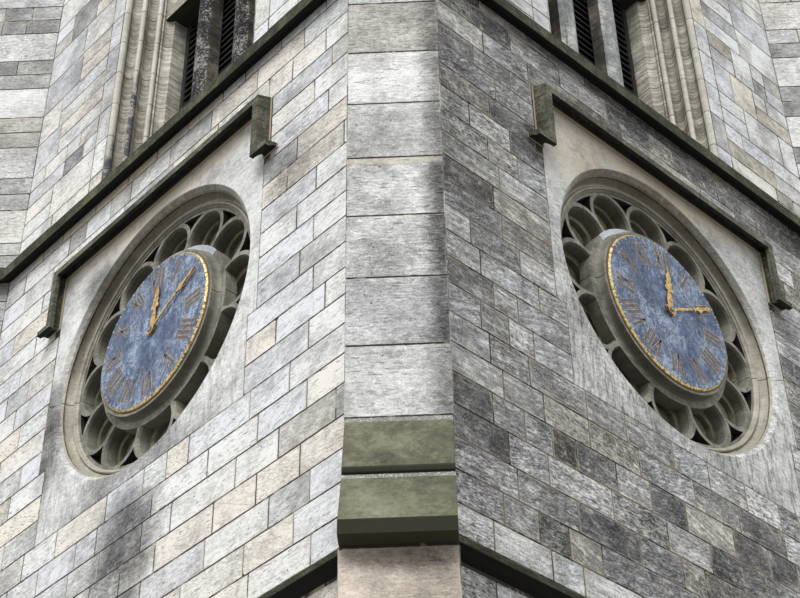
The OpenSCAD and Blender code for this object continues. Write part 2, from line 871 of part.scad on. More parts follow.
// The transom, whose ends fill the hollows beside the reveals
module transom() {
    front = mullion_d - transom_out;
    end = concat(
        [[light_half - 20 - seat_gap + reveal_hollow_r, front]],
        reveal_hollow(seat_gap),
        [[light_half - seat_gap, 540], [light_half - seat_gap, mullion_d + mullion_t]]
    );
    translate([0, -belfry_half, transom_z])
        linear_extrude(transom_h)
            polygon(concat(end, [for (k = [len(end) - 1:-1:0]) [-end[k][0], end[k][1]]]));
}

// An upright almond shape of width w: two arcs that meet at the top and the bottom
module dagger(x, z, w) {
    intersection_for (s = [-1, 1])
        translate([x + s * w / 2, z]) circle(w, $fn = 64);
}

module belfry_tracery(i) {
    plate_d = mullion_d + mullion_chamfer;
    back_d = mullion_d + mullion_t;
    color(stone_dark) on_side(i) {
        transom();
        intersection() {
            union() {
                for (s = [-1, 1]) mullion(s * light_step / 2);
                difference() {
                    pointed(belfry_half, plate_d, back_d, light_half - seat_gap, spring_z,
                        arch_centre, light_spring);
                    for (k = [-1:1])
                        translate([k * light_step, 0, 0])
                            pointed(belfry_half, 0, wall_t, light_w / 2, light_spring,
                                light_centre, light_spring - cut);
                    for (s = [-1, 1])
                        from_face(belfry_half, 0, wall_t)
                            dagger(s * light_step / 2, light_spring + dagger_rise, dagger_w);
                    from_face(belfry_half, 0, wall_t)
                        translate([0, light_spring + top_eye_rise]) circle(top_eye_r, $fn = 48);
                }
            }
            pointed(belfry_half, 0, wall_t, light_half - seat_gap, spring_z, arch_centre,
                clock_top);
        }
    }
}

// Louvre boards in a frame behind the mullions

louvre_front = mullion_d + mullion_t + 8;

module louvres(i) {
    back = louvre_front + louvre_d;
    board_top = spring_z + 1.4 * arch_centre;
    color(louvre_dark) on_side(i) {
        difference() {
            pointed(belfry_half, louvre_front, back, light_half - seat_gap, spring_z,
                arch_centre, sill_z);
            pointed(belfry_half, louvre_front - 1, back + 1, light_half - louvre_frame,
                spring_z, arch_centre, sill_z + louvre_frame);
        }
        intersection() {
            for (z = [sill_z + louvre_frame + louvre_t:louvre_pitch:board_top])
                translate([-light_half, -belfry_half + louvre_front + 10, z])
                    rotate([90, 0, 90]) linear_extrude(2 * light_half) polygon([
                        [0, 0],
                        [louvre_d - 20, louvre_d * 0.85],
                        [louvre_d - 20, louvre_d * 0.85 + louvre_t],
                        [0, louvre_t]
                    ]);
            pointed(belfry_half, louvre_front, back, light_half - louvre_frame + 5, spring_z,
                arch_centre, sill_z);
        }
    }
}

// Hood moulds over the belfry openings

module belfry_hood() {
    hood_r = arch_centre + opening_half + belfry_hood_gap;
    w = belfry_hood_w;
    out = belfry_hood_out;
    outline = [[hood_r, 0], [hood_r + 0.07 * w, -0.45 * out], [hood_r + 0.18 * w, -0.8 * out],
        [hood_r + 0.4 * w, -out], [hood_r + 0.65 * w, -out], [hood_r + w, -0.35 * out],
        [hood_r + w, 0]];
    intersection() {
        union() {
            for (s = [-1, 1])
                intersection() {
                    revolve_in(belfry_half, s * arch_centre, spring_z) polygon(outline);
                    translate([s > 0 ? -far : 0, -far, spring_z]) cube([far, far, far]);
                }
        }
        translate([-far / 2, -far, spring_z]) cube([far, far, far]);
    }
    for (s = [-1, 1])
        translate([s * (opening_half + belfry_hood_gap + w / 2) - w / 2, -belfry_half - out - 10,
                spring_z - belfry_stop_h])
            cube([w, out + 10, belfry_stop_h]);
}

module belfry_hoods() {
    color(stone_moss) for (i = [0:3]) on_side(i) belfry_hood();
}

// Parapet with coped merlons

module parapet() {
    color(stone_pale) difference() {
        block(belfry_half, parapet_z + seat_gap, parapet_top);
        block(belfry_half - parapet_t, parapet_z - cut, parapet_top + cut);
        for (i = [0:3]) on_corner(i) pinnacle_shaft(seat_gap);
    }
}

module merlons() {
    side = 2 * (belfry_half - buttress_w / sqrt(2));
    pitch = side / embrasures;
    coping_z = merlon_top - coping_h;
    color(stone_pale) difference() {
        union() {
            block(belfry_half, parapet_top + seat_gap, coping_z);
            block(belfry_half + coping_out, coping_z, merlon_top);
        }
        block(belfry_half - parapet_t, parapet_top - cut, merlon_top + cut);
        for (i = [0:1], k = [0:embrasures - 1])
            on_side(i) translate([pitch * (k + 0.5) - (side + embrasure_w) / 2, -far / 2,
                    parapet_top - cut])
                cube([embrasure_w, far, merlon_h + 2 * cut]);
        for (i = [0:3]) on_corner(i) pinnacle_shaft(seat_gap);
    }
}

// Lead roof behind the parapet, on boards

module roof() {
    r = belfry_half - parapet_t;
    eaves_z = belfry_top + gutter_h + roof_kerb;
    color(lead_grey) difference() {
        square_moulding([[0, belfry_top], [r, belfry_top], [r, belfry_top + gutter_h],
            [r - gutter_w, belfry_top + gutter_h], [r - gutter_w, eaves_z],
            [roof_cap, eaves_z + roof_rise], [0, eaves_z + roof_rise]]);
        intersection() {
            square_moulding([[0, belfry_top - cut], [r - gutter_w, belfry_top - cut],
                [r - gutter_w, eaves_z - roof_t], [roof_cap, eaves_z + roof_rise - roof_t],
                [0, eaves_z + roof_rise - roof_t]]);
            block(inner_half, belfry_top - 2 * cut, eaves_z + roof_rise);
        }
    }
}

// Pinnacles with gables over sunk panels, a spire and a finial

module pinnacle_shaft(grow) {
    translate([0, -corner_r - pinnacle_off, 0])
        block(pinnacle_w / 2 + grow, parapet_z - grow, parapet_z + pinnacle_shaft);
}

// A square spire, half its width h at the foot
module spire(h, z0, z1) {
    square_moulding([[0, z0], [h, z0], [0.16 * h, z1], [0, z1]]);
}

module pinnacle() {
    top = parapet_z + pinnacle_shaft;
    side = pinnacle_w / 2;
    eave = side + gable_out;
    difference() {
        pinnacle_shaft(0);
        translate([0, -corner_r - pinnacle_off, 0])
            for (i = [0:3])
                on_side(i) pointed(side, -cut, panel_d, panel_half, top - 2 * panel_half, 0,
                    merlon_top + panel_half);
    }
    translate([0, -corner_r - pinnacle_off, 0]) {
        for (i = [0:1])
            on_side(i) from_face(eave, 0, 2 * eave)
                polygon([[-eave, top - coping_h], [eave, top - coping_h], [eave, top],
                    [0, top + gable_h], [-eave, top]]);
        spire(side, top, top + pinnacle_spire);
        translate([0, 0, top + pinnacle_spire])
            rotate_extrude($fn = 32) polygon([[0, -0.25 * finial_w],
                [finial_w * 0.3, -0.25 * finial_w], [finial_w * 0.5, 0.15 * finial_w],
                [finial_w * 0.42, 0.5 * finial_w], [finial_w * 0.2, 0.7 * finial_w],
                [finial_w * 0.24, 0.9 * finial_w], [0, 1.25 * finial_w]]);
    }
}

module pinnacles() {
    color(stone_pale) for (i = [0:3]) on_corner(i) pinnacle();
}

// Floors

module ground_floor() {
    color(stone_dark) block(inner_half, 0, ground_floor_z);
}

module belfry_floor() {
    color(timber) block(inner_half, belfry_floor_z - floor_t, belfry_floor_z);
}

plinth();
ground_floor();
ground_walls();
door();
doorway_step();
clock_wall(0);  // clock_wall_south
clock_wall(1);  // clock_wall_east
clock_wall(2);  // clock_wall_north
clock_wall(3);  // clock_wall_west
belfry_wall(0);  // belfry_wall_south
belfry_wall(1);  // belfry_wall_east
belfry_wall(2);  // belfry_wall_north
belfry_wall(3);  // belfry_wall_west
buttress(0);  // buttress_southwest
buttress(1);  // buttress_southeast
buttress(2);  // buttress_northeast
buttress(3);  // buttress_northwest
lower_string();
upper_string();
parapet_string();
parapet();
merlons();
roof();
pinnacles();
hood_moulds();
belfry_hoods();
belfry_floor();
roundel(0);  // roundel_south
roundel(1);  // roundel_east
roundel(2);  // roundel_north
roundel(3);  // roundel_west
dial(0);  // dial_south
dial(1);  // dial_east
dial(2);  // dial_north
dial(3);  // dial_west
hour_hand(0);  // hour_hand_south
hour_hand(1);  // hour_hand_east
hour_hand(2);  // hour_hand_north
hour_hand(3);  // hour_hand_west
minute_hand(0);  // minute_hand_south
minute_hand(1);  // minute_hand_east
minute_hand(2);  // minute_hand_north
minute_hand(3);  // minute_hand_west
belfry_tracery(0);  // belfry_tracery_south
belfry_tracery(1);  // belfry_tracery_east
belfry_tracery(2);  // belfry_tracery_north
belfry_tracery(3);  // belfry_tracery_west
louvres(0);  // louvres_south
louvres(1);  // louvres_east
louvres(2);  // louvres_north
louvres(3);  // louvres_west
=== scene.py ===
"""Looks of a square stone clock tower with diagonal corner buttresses.

The CAD frame gives every moulding, opening and roof. Here each flat wall gets its ashlar as
single worn stones, the dials get their figures and minute marks, and every surface gets a
procedural material. Metres, same frame as the CAD: +Z up, -Y south, -X west.
"""

import math
import random

import bpy
import numpy as np
from mathutils import Matrix


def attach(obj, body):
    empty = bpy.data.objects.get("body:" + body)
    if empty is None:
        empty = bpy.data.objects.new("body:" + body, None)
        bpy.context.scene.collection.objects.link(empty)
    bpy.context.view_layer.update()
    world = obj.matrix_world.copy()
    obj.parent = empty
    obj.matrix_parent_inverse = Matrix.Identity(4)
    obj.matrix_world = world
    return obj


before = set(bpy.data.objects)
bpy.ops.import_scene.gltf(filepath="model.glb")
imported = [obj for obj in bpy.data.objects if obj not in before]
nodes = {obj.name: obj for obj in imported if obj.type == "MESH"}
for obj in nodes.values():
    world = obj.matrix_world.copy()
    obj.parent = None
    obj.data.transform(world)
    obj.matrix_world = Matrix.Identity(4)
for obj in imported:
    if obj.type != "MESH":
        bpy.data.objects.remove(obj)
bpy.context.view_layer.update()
SIDES = ("south", "east", "north", "west")
CORNERS = ("southwest", "southeast", "northeast", "northwest")

# Sizes that the CAD part has, in metres: _HALF from the middle, _R a radius, _Z and _TOP a
# level, _D a depth behind the wall's face, _OUT, _FOOT and _HEAD what a buttress stands out
HALF = 3.75
GROUND_HALF = 3.79
BELFRY_HALF = 3.71
CORNER_R = HALF * math.sqrt(2)
BUTTRESS_HALF = 0.374
BUTTRESS_OUT = 1.14
BUTTRESS_FOOT = 1.54
BUTTRESS_HEAD = 0.56
PLINTH_TOP = 1.15
LOWER_STRING_Z = 8.26
DIAL_Z = 12.575
SPRING_Z = 20.6
BELFRY_TOP = 23.5
PARAPET_Z = 23.8
PARAPET_TOP = 24.8
PARAPET_T = 0.38
ROUNDEL_R = 1.648
WHEEL_D = 0.180
PETAL_AT = 1.158
PETAL_R = 0.268
DIAL_D = 0.048
DIAL_FACE_R = 0.871
DOOR_HALF = 0.865
DOOR_SPRING_Z = 2.05
DOOR_ARCH_CENTRE = 0.42
OPENING_HALF = 1.43
ARCH_CENTRE = 1.0
TRANSOM_Z = (18.70, 18.89)
# The level from which the looks of the clock stage are measured, the height of an ashlar
# course and one bed joint of the belfry's quoins with the height of their courses
CLOCK_Z = 12.6
COURSE = 0.312
QUOIN_BED = 15.360
QUOIN_RISE = 0.567
# Half the width of a joint, and how far a stone's face stands out of the CAD wall
GAP = 0.004
LIFT = 0.005
# How far a stone goes into the wall, and the width of its worn arris
SUNK = 0.003
BEVEL = 0.005

# Shader building


def col(r, g, b):
    """An 8-bit screen colour as a linear colour."""
    def lin(c):
        c /= 255
        return c / 12.92 if c <= 0.04045 else ((c + 0.055) / 1.055) ** 2.4
    return (lin(r), lin(g), lin(b), 1.0)


class Value:
    """A number in a shader: +, -, * and abs() build the nodes that work it out."""

    def __init__(self, m, socket):
        self.m, self.socket = m, socket

    def __add__(self, b):
        return self.m.math("ADD", self, b)

    def __sub__(self, b):
        return self.m.math("SUBTRACT", self, b)

    def __rsub__(self, a):
        return self.m.math("SUBTRACT", a, self)

    def __mul__(self, b):
        return self.m.math("MULTIPLY", self, b)

    def __abs__(self):
        return self.m.math("ABSOLUTE", self)


class Nodes:
    """A node tree with short names for the nodes it is built from."""

    def __init__(self, tree):
        self.tree = tree
        tree.nodes.clear()

    def put(self, socket, value):
        if isinstance(value, Value):
            value = value.socket
        if isinstance(value, bpy.types.NodeSocket):
            self.tree.links.new(value, socket)
        else:
            socket.default_value = value

    def add(self, kind, inputs=None, **props):
        """Adds a node and gives its outputs."""
        node = self.tree.nodes.new(kind)
        for k, v in props.items():
            setattr(node, k, v)
        for k, v in (inputs or {}).items():
            self.put(node.inputs[k], v)
        return node.outputs

    def value(self, kind, inputs, out=0, **props):
        return Value(self, self.add(kind, inputs, **props)[out])

    def math(self, op, a, b=0.0, c=0.0, clamp=False):
        return self.value("ShaderNodeMath", {0: a, 1: b, 2: c}, operation=op, use_clamp=clamp)

    def madd(self, a, b, c, clamp=False):
        return self.math("MULTIPLY_ADD", a, b, c, clamp)

    def more(self, t, field, amount):
        """t, raised where the field is above a half and lowered where it is below."""
        return self.madd(self.math("SUBTRACT", field, 0.5), amount, t)

    def max(self, a, b):
        return self.math("MAXIMUM", a, b)

    def min(self, a, b):
        return self.math("MINIMUM", a, b)

    def fract(self, a):
        return self.math("FRACT", a)

    def hypot(self, a, b):
        return self.math("SQRT", a * a + b * b)

    def vec(self, op, a, b=(0, 0, 0)):
        return self.value("ShaderNodeVectorMath", {0: a, 1: b}, operation=op)

    def length(self, v):
        return self.value("ShaderNodeVectorMath", {0: v}, 1, operation="LENGTH")

    def split(self, v):
        return [Value(self, s) for s in self.add("ShaderNodeSeparateXYZ", {0: v})]

    def join(self, x=0.0, y=0.0, z=0.0):
        return self.value("ShaderNodeCombineXYZ", {0: x, 1: y, 2: z})

    def attr(self, name):
        return self.value("ShaderNodeAttribute", {}, "Vector", attribute_name=name)

    def place(self):
        return self.value("ShaderNodeNewGeometry", {}, "Position")

    def mix(self, fac, a, b, blend="MIX"):
        return self.add("ShaderNodeMix", {0: fac, 6: a, 7: b}, data_type="RGBA", blend_type=blend)[2]

    def tint(self, fac, colour, by):
        return self.mix(fac, colour, self.mix(1.0, colour, by, "MULTIPLY"))

    def noise(self, v, scale, detail=4.0, rough=0.55, warp=0.0):
        """Noise of one scale, or of one along each axis."""
        if isinstance(scale, tuple):
            v, scale = self.vec("MULTIPLY", v, scale), 1.0
        return self.value("ShaderNodeTexNoise", {
            "Vector": v, "Scale": scale, "Detail": detail, "Roughness": rough, "Distortion": warp})

    def step(self, v, lo, hi, a=0.0, b=1.0):
        """Goes smoothly from a at lo to b at hi."""
        return self.value("ShaderNodeMapRange", {0: v, 1: lo, 2: hi, 3: a, 4: b},
                          interpolation_type="SMOOTHSTEP")

    def bump(self, height, strength, distance):
        return self.value("ShaderNodeBump", {
            "Strength": strength, "Distance": distance, "Height": height})


class Mat(Nodes):
    """A material that is being built."""

    def __init__(self, name):
        self.mat = bpy.data.materials.new(name)
        self.mat.use_nodes = True
        super().__init__(self.mat.node_tree)
        self.bsdf = self.tree.nodes.new("ShaderNodeBsdfPrincipled")
        self.add("ShaderNodeOutputMaterial", {0: self.bsdf.outputs[0]})

    def set(self, **values):
        for k, v in values.items():
            self.put(self.bsdf.inputs[k.replace("_", " ")], v)
        return self.mat

    def ramp(self, fac, stops):
        node = self.tree.nodes.new("ShaderNodeValToRGB")
        self.put(node.inputs[0], fac)
        e = node.color_ramp.elements
        while len(e) < len(stops):
            e.new(1.0)
        for k, (pos, colour) in enumerate(stops):
            e[k].position = pos
            e[k].color = colour
        return node.outputs[0]


# soot, and the default colour of the painted shade under and in carved stone
SOOT_AND_SHADE_RGB = (38, 36, 33)
SOOT = col(*SOOT_AND_SHADE_RGB)
PALE_JOINTS = (col(72, 71, 70), col(186, 182, 172), 0.85)


def blob(m, uz, cu, cz, ru, rz):
    """1 at (cu, cz) on a wall, falling to 0 at an ellipse with radii ru and rz."""
    d = m.vec("DIVIDE", m.vec("SUBTRACT", uz, (cu, cz, 0)), (ru, rz, 1))
    x, y, _ = m.split(d)
    return m.step(m.hypot(x, y), 1.0, 0.25)


STONE_ROUGHNESS = 0.92
STONE_SPECULAR = 0.25
STONE = [(0.05, col(20, 20, 21)), (0.30, col(77, 77, 78)), (0.50, col(127, 127, 126)),
         (0.70, col(177, 178, 177)), (0.85, col(215, 216, 215)), (1.00, col(244, 246, 246))]


def pointing(m, dark_share):
    """0 where the joints hold pale mortar and 1 where they are open and dark."""
    limit = 0.60 - 0.25 * dark_share
    return m.step(m.noise(m.place(), 2.7, 4.0, 0.65, 0.5), limit, limit + 0.06)


def ashlar(name, mean, spread, power=1.0, fringe=0.3, fringe_width=0.015, cloud=0.45, bedding=0.35,
           dashes=0.5, grain=0.5, patches=0.0, macro=0.35, soot=0.1, stains=(), creams=(), streaks=0.0,
           side_stain=0.0, ring_stain_and_shade=0.0, tints=0.2, warmth=0.0, spots=0.0, pits=0.3, slant=1.0,
           rough=0.6, buff=(col(246, 232, 200), col(226, 216, 194)), warm_colour=col(255, 246, 222),
           joints=PALE_JOINTS):
    """Stone faces: each stone has its own tone, tint, bedding and ragged pale fringe.

    mean is the brightness of a clean stone from 0 to 1, and spread how much darker the darkest
    are. stains lists dark patches on the wall as (u, z from CLOCK_Z, radius u, radius z, depth),
    and creams clean buff patches in the same way. joints holds the dark and the pale joint
    colour and the share of dark ones.
    """
    m = Mat(name)
    st = m.attr("st")
    size = m.split(m.attr("sz"))
    tone, tint, seed = m.split(m.attr("rnd"))
    wall = m.attr("wall")
    u, v, _ = m.split(wall)
    x, y, _ = m.split(st)
    across = m.min(x, size[0] - x)
    upward = m.min(y, size[1] - y)
    off = seed * 91.0
    place = m.vec("ADD", st, m.join(off, seed * 37.0, off))
    slope = m.math("POWER", tint - 0.5, 3.0) * (3.0 * slant)
    turned = m.value("ShaderNodeVectorRotate", {"Vector": place, "Angle": slope},
                     rotation_type="Z_AXIS")
    broad = m.noise(place, 2.4, 2.0, 0.5, 0.4)
    cloudy = m.noise(place, 8.0, 5.0, 0.62, 0.6)
    bed = m.noise(turned, (2.2, 24.0, 1.0), 4.0, 0.6, 0.5)
    dash = m.noise(turned, (20.0, 62.0, 1.0), 2.0, 0.6, 0.3)
    grit = m.noise(place, 62.0, 3.0, 0.8)
    worn = m.noise(turned, (17.0, 30.0, 1.0), 4.0, 0.72, 0.4)
    wide = m.noise(wall, 0.9, 4.0, 0.6)

    own = m.fract(seed * 5.3)
    t = m.madd(m.math("POWER", tone, power), -spread, mean)
    lively = m.madd(tone, -0.7, 1.0)
    for field, amount in ((broad, cloud), (cloudy, 0.6 * cloud), (grit, grain), (worn, rough),
                          (wide, macro), (bed, lively * bedding),
                          (dash, lively * m.madd(own, 1.4 * dashes, 0.3 * dashes))):
        t = m.more(t, field, amount)
    if patches:
        t = m.madd(m.step(cloudy * 0.6 + bed * 0.4, 0.5, 0.62), patches, t)
    # soot that clings in patches, heaviest where water runs
    sooty = m.noise(m.vec("MULTIPLY", wall, (1.3, 0.8, 1.0)), 1.6, 6.0, 0.72)
    sooty = m.step(sooty, 0.6 - 0.25 * soot, 0.85) * (0.15 + 0.5 * soot)
    for *spot, depth in stains:
        sooty += blob(m, wall, *spot) * depth * m.madd(cloudy, 1.6, 0.2)
    if streaks:
        run = m.noise(wall, (17.0, 3.0, 1.0), 5.0, 0.7, 1.2)
        low = m.step(v, 0.6, -1.2, 0.12, 1.0) * streaks
        sooty = m.madd(m.step(run, 0.47, 0.62), low, sooty)
    if side_stain:
        band = m.step(u, 0.16, 0.36) * m.math("LESS_THAN", abs(u), 0.4)
        band *= m.step(wide + cloudy * 0.5, 0.55, 0.9, 0.45, 1.0)
        sooty += band * m.madd(own, 0.5, 0.5) * side_stain
    t = t - sooty * 0.55
    # a ragged pale fringe that rounds the corners
    reach = 0.045
    edge = reach - m.hypot(m.max(reach - across, 0.0), m.max(reach - upward, 0.0))
    ragged = (m.noise(place, 9.0, 5.0, 0.72) - 0.38) * (9.0 * fringe_width)
    keep = m.step(m.fract(seed * 13.7), 0.05, 0.5, 0.4, 1.0)
    pale = m.step(edge, ragged, ragged * 0.4) * (keep * fringe)
    t = t + pale * (0.78 - t)
    colour = m.ramp(t, STONE)
    warm = m.step(tint, 0.6, 0.95) * (0.9 * tints)
    warm = m.madd(pale, 0.8, warm + warmth, clamp=True)
    colour = m.tint(warm, colour, warm_colour)
    cool = m.step(tint, 0.35, 0.1) * (0.8 * tints)
    colour = m.tint(cool, colour, col(243, 244, 255))
    lichen = m.step(own, 0.7, 0.95) * (0.25 * tints)
    colour = m.tint(lichen, colour, col(246, 255, 243))
    for *spot, depth in creams:
        patch = blob(m, wall, *spot) * m.step(cloudy, 0.36, 0.56, 0.35, depth)
        colour = m.mix(patch, colour, m.mix(m.step(wide, 0.4, 0.6), *buff))
    # a stain with painted shade over the upper part of the ring's splay, which looks down there
    if ring_stain_and_shade:
        r = m.hypot(u, v + (CLOCK_Z - DIAL_Z))
        band = m.step(r, ROUNDEL_R + 0.012, ROUNDEL_R - 0.012) * m.step(v, 0.35, 1.25)
        band *= m.madd(cloudy, 1.2, 0.25, clamp=True)
        colour = m.mix(band * ring_stain_and_shade, colour, col(100, 98, 86))
    pit = m.noise(turned, (9.0, 64.0, 1.0), 3.0, 0.62, 0.5)
    pit = m.math("MULTIPLY", m.step(pit, 0.6, 0.65), m.madd(tone, 1.2 * pits, pits), clamp=True)
    pit *= m.step(broad, 0.4, 0.56, 0.25, 1.0)
    colour = m.mix(pit, colour, m.mix(0.6, colour, SOOT))
    if spots:
        away = m.value("ShaderNodeTexVoronoi", {"Vector": place, "Scale": 1.8}, "Distance",
                       voronoi_dimensions="2D")
        colour = m.mix(m.step(away, 0.02, 0.012) * spots, colour, SOOT)
    # mortar that laps over the bed joints and the upright ones
    dark, light, share = joints
    opened = pointing(m, share)
    width = m.noise(place, 16.0, 3.0, 0.7) * 0.014 - 0.0035
    bedline = m.step(upward, width + 0.003, width) * 0.9
    colour = m.mix(bedline, colour, m.mix(opened, light, dark))
    upright = m.step(across, width + 0.003, width) * 0.85
    opened *= m.step(m.fract(seed * 7.3), 0.3, 0.5)
    colour = m.mix(upright, colour, m.mix(opened, light, dark))
    height = m.madd(grit, 0.5, m.madd(worn, 0.7, m.madd(bed, 0.5, dash * 0.35)))
    return m.set(Base_Color=colour, Roughness=STONE_ROUGHNESS, Specular_IOR_Level=STONE_SPECULAR,
                 Normal=m.bump(height, 0.6, 0.009))


# The rolls of the belfry jambs: distance from the arch's centre, depth in the wall and radius
ROLLS = ((1.430, 0.045, 0.045), (1.254, 0.182, 0.031), (1.154, 0.363, 0.031))
# The levels to which the stain from the sill climbs the first two rolls
STAIN_TOPS = (16.3, 17.5)


def jamb_members(m, p, colour, run, mottle, bed, stain):
    """Pale rolls, grey hollows with tooling and painted shade in the grooves between them on the belfry
    jambs.

    Gives the colour, the mask of the painted shade in the grooves and that of the dark stain that rises
    from the sill.
    """
    px, py, z = m.split(p)
    ax, ay = abs(px), abs(py)
    across = m.hypot(m.min(ax, ay) + ARCH_CENTRE, m.max(z - SPRING_Z, 0.0)) - ARCH_CENTRE
    depth = BELFRY_HALF - m.max(ax, ay)
    pale = m.step(depth, 0.002, 0.0)
    crease_shade, stained = 0.0, 0.0
    for k, (cu, cd, r) in enumerate(ROLLS):
        away = m.length(m.vec("SUBTRACT", m.join(across, depth), (cu, cd, 0)))
        on = m.step(away, r + 0.006, r + 0.001)
        pale = m.max(pale, on)
        # painted shade in the groove just outside each roll
        line = m.step(away, r + 0.002, r + 0.004) * m.step(away, r + 0.017, r + 0.009)
        crease_shade = m.max(crease_shade, line)
        if k < len(STAIN_TOPS) and stain:
            top = STAIN_TOPS[k]
            climb = m.more(z, run, 2.2)
            low = m.step(climb, top + 0.25, top - 0.35) * m.step(mottle, 0.38, 0.54, 0.2, 1.0)
            stained = m.max(stained, on * low * stain)
    grooved = m.mix(1.0, colour, col(222, 220, 214), "MULTIPLY")
    tooled = m.mix(m.step(bed, 0.42, 0.60), grooved, colour)
    return (m.mix(pale, tooled, m.mix(0.45, colour, col(226, 224, 214))),
            crease_shade * m.step(mottle, 0.3, 0.5, 0.45, 0.9), stained)


def carved(name, shades, moss, under_shade_and_soot, hollow_shade_and_dirt, course=0.0, first=0.0, streak=0.3,
           moss_rgb=(84, 90, 52), shade_and_soot_rgb=SOOT_AND_SHADE_RGB, reach=0.16, variety=0.0, bands=(), jambs=None,
           bead=False, contrast=1.0, bedding=0.25, grit=0.0, under_to=-0.75, strips=(), arris=None):
    """Mouldings and carving: algae on slopes, painted shade and soot on undersides and in hollows, rain
    streaks.

    shades holds its screen colours from dark to pale. course is the height of its stones and
    first the level of one bed joint. bands lists dark levels as (z0, z1, depth) and strips the
    levels of washed grey ones. jambs picks the rolls and hollows of the belfry jambs and says
    how far their foot is stained, bead leaves a clean line along the clock stage's wall, and
    arris gives the depths between which a painted shadow line darkens the ring's arris. The two
    shares after moss set how strongly painted shade with soot darkens undersides, and painted
    shade with dirt darkens hollows.
    """
    m = Mat(name)
    p = m.place()
    moss_colour, shade_and_soot_colour = col(*moss_rgb), col(*shade_and_soot_rgb)
    up = m.split(m.value("ShaderNodeNewGeometry", {}, "Normal"))[2]
    px, py, z = m.split(p)
    broad = m.noise(p, 1.7, 5.0, 0.62, 0.3)
    mottle = m.noise(p, 9.0, 6.0, 0.7)
    grain = m.noise(p, 90.0, 3.0, 0.7)
    bed = m.noise(p, (2.5, 2.5, 34.0), 4.0, 0.6, 0.3)
    run = m.noise(p, (16.0, 16.0, 1.1), 4.0, 0.6)
    t = m.more(broad * 0.55 + mottle * 0.45, bed, bedding)
    if grit:
        t = m.more(t, m.noise(p, 34.0, 4.0, 0.75), grit)
    if variety:
        stone = m.math("FLOOR", m.math("DIVIDE", z - first, course))
        block = m.vec("FLOOR", m.vec("MULTIPLY", p, (0.5, 0.5, 0.0)))
        own = m.value("ShaderNodeTexWhiteNoise", {"Vector": m.vec("ADD", block, m.join(z=stone))})
        t = m.more(t, own, variety)
    stops = [(k / (len(shades) - 1), col(*rgb)) for k, rgb in enumerate(shades)]
    colour = m.ramp(m.step(t, 0.5 - 0.22 / contrast, 0.5 + 0.22 / contrast), stops)
    if jambs is not None:
        colour, crease_shade, stained = jamb_members(m, p, colour, run, mottle, bed, jambs)
    streaks = m.step(run, 0.5, 0.72) * streak
    colour = m.mix(streaks, colour, m.mix(0.75, colour, SOOT))
    # painted shade and soot on faces that look down
    under = m.step(up, -0.02, under_to) * m.madd(mottle, 0.9, 0.45)
    colour = m.mix(m.math("MULTIPLY", under, under_shade_and_soot, clamp=True), colour, shade_and_soot_colour)
    # painted shade in hollows and crevices, from ambient occlusion, with some dirt
    ao = m.value("ShaderNodeAmbientOcclusion", {"Distance": reach}, "AO", samples=6)
    hollow = m.step(m.madd(mottle, 0.25, ao), 0.92, 0.42) * hollow_shade_and_dirt
    colour = m.mix(hollow, colour, m.mix(0.88, colour, shade_and_soot_colour))
    green = m.step(up, 0.12, 0.5) * m.step(broad + mottle * 0.6, 0.62, 0.95)
    mossy = m.mix(m.step(mottle, 0.35, 0.65), moss_colour, m.mix(0.5, moss_colour, SOOT))
    colour = m.mix(green * moss, colour, mossy)
    for z0, z1, depth in bands:
        band = m.math("GREATER_THAN", z, z0) * m.math("LESS_THAN", z, z1)
        band *= m.madd(mottle, 0.9, depth - 0.4, clamp=True)
        colour = m.mix(band, colour, col(46, 47, 34))
    for z0, z1 in strips:
        band = m.step(z, z0, z0 + 0.02) * m.math("LESS_THAN", z, z1)
        band *= m.step(broad, 0.3, 0.55, 0.4, 0.95)
        speckle = m.step(m.noise(p, 70.0, 2.0, 0.6), 0.56, 0.62)
        colour = m.mix(band, colour, m.mix(speckle, col(130, 132, 126), col(206, 208, 200)))
    if jambs is not None:
        bluish = m.mix(m.step(grain, 0.60, 0.68), col(50, 58, 75), col(150, 152, 156))
        colour = m.mix(stained, colour, bluish)
        # painted shade in the grooves beside the jambs' rolls
        colour = m.mix(crease_shade, colour, col(40, 38, 34))
    out = m.max(abs(px), abs(py)) - HALF
    # a painted shadow line along the ring's arris
    if arris:
        line = m.step(out, arris[0], arris[0] + 0.008) * m.step(out, arris[1], arris[1] - 0.004)
        line *= m.step(mottle, 0.36, 0.56, 0.3, 0.8)
        colour = m.mix(line, colour, shade_and_soot_colour)
    if course:
        line = m.step(m.math("PINGPONG", z - first, course / 2), 0.008, 0.003) * 0.9
        colour = m.mix(line, colour, col(44, 39, 34))
    if bead:
        clean = m.step(out, 0.026, 0.022) * m.step(up, 0.35, 0.2)
        colour = m.mix(clean * 0.85, colour, col(196, 182, 156))
        colour = m.mix(clean * m.step(out, 0.009, 0.006), colour, col(64, 48, 34))
    speck = m.step(grain, 0.6, 0.74) * 0.4
    colour = m.mix(speck, colour, m.mix(0.7, colour, SOOT))
    return m.set(Base_Color=colour, Roughness=STONE_ROUGHNESS, Specular_IOR_Level=STONE_SPECULAR,
                 Normal=m.bump(mottle * 0.6 + grain * 0.3, 0.45, 0.006))


def mortar(name, dark, light, share):
    m = Mat(name)
    p = m.place()
    colour = m.mix(pointing(m, share), light, dark)
    dirty = m.step(m.noise(p, 24.0, 5.0, 0.7), 0.35, 0.65, 0.0, 0.6)
    return m.set(Base_Color=m.mix(dirty, colour, m.mix(0.6, colour, SOOT)), Roughness=0.95,
                 Normal=m.bump(m.noise(p, 120.0, 2.0), 0.5, 0.004))


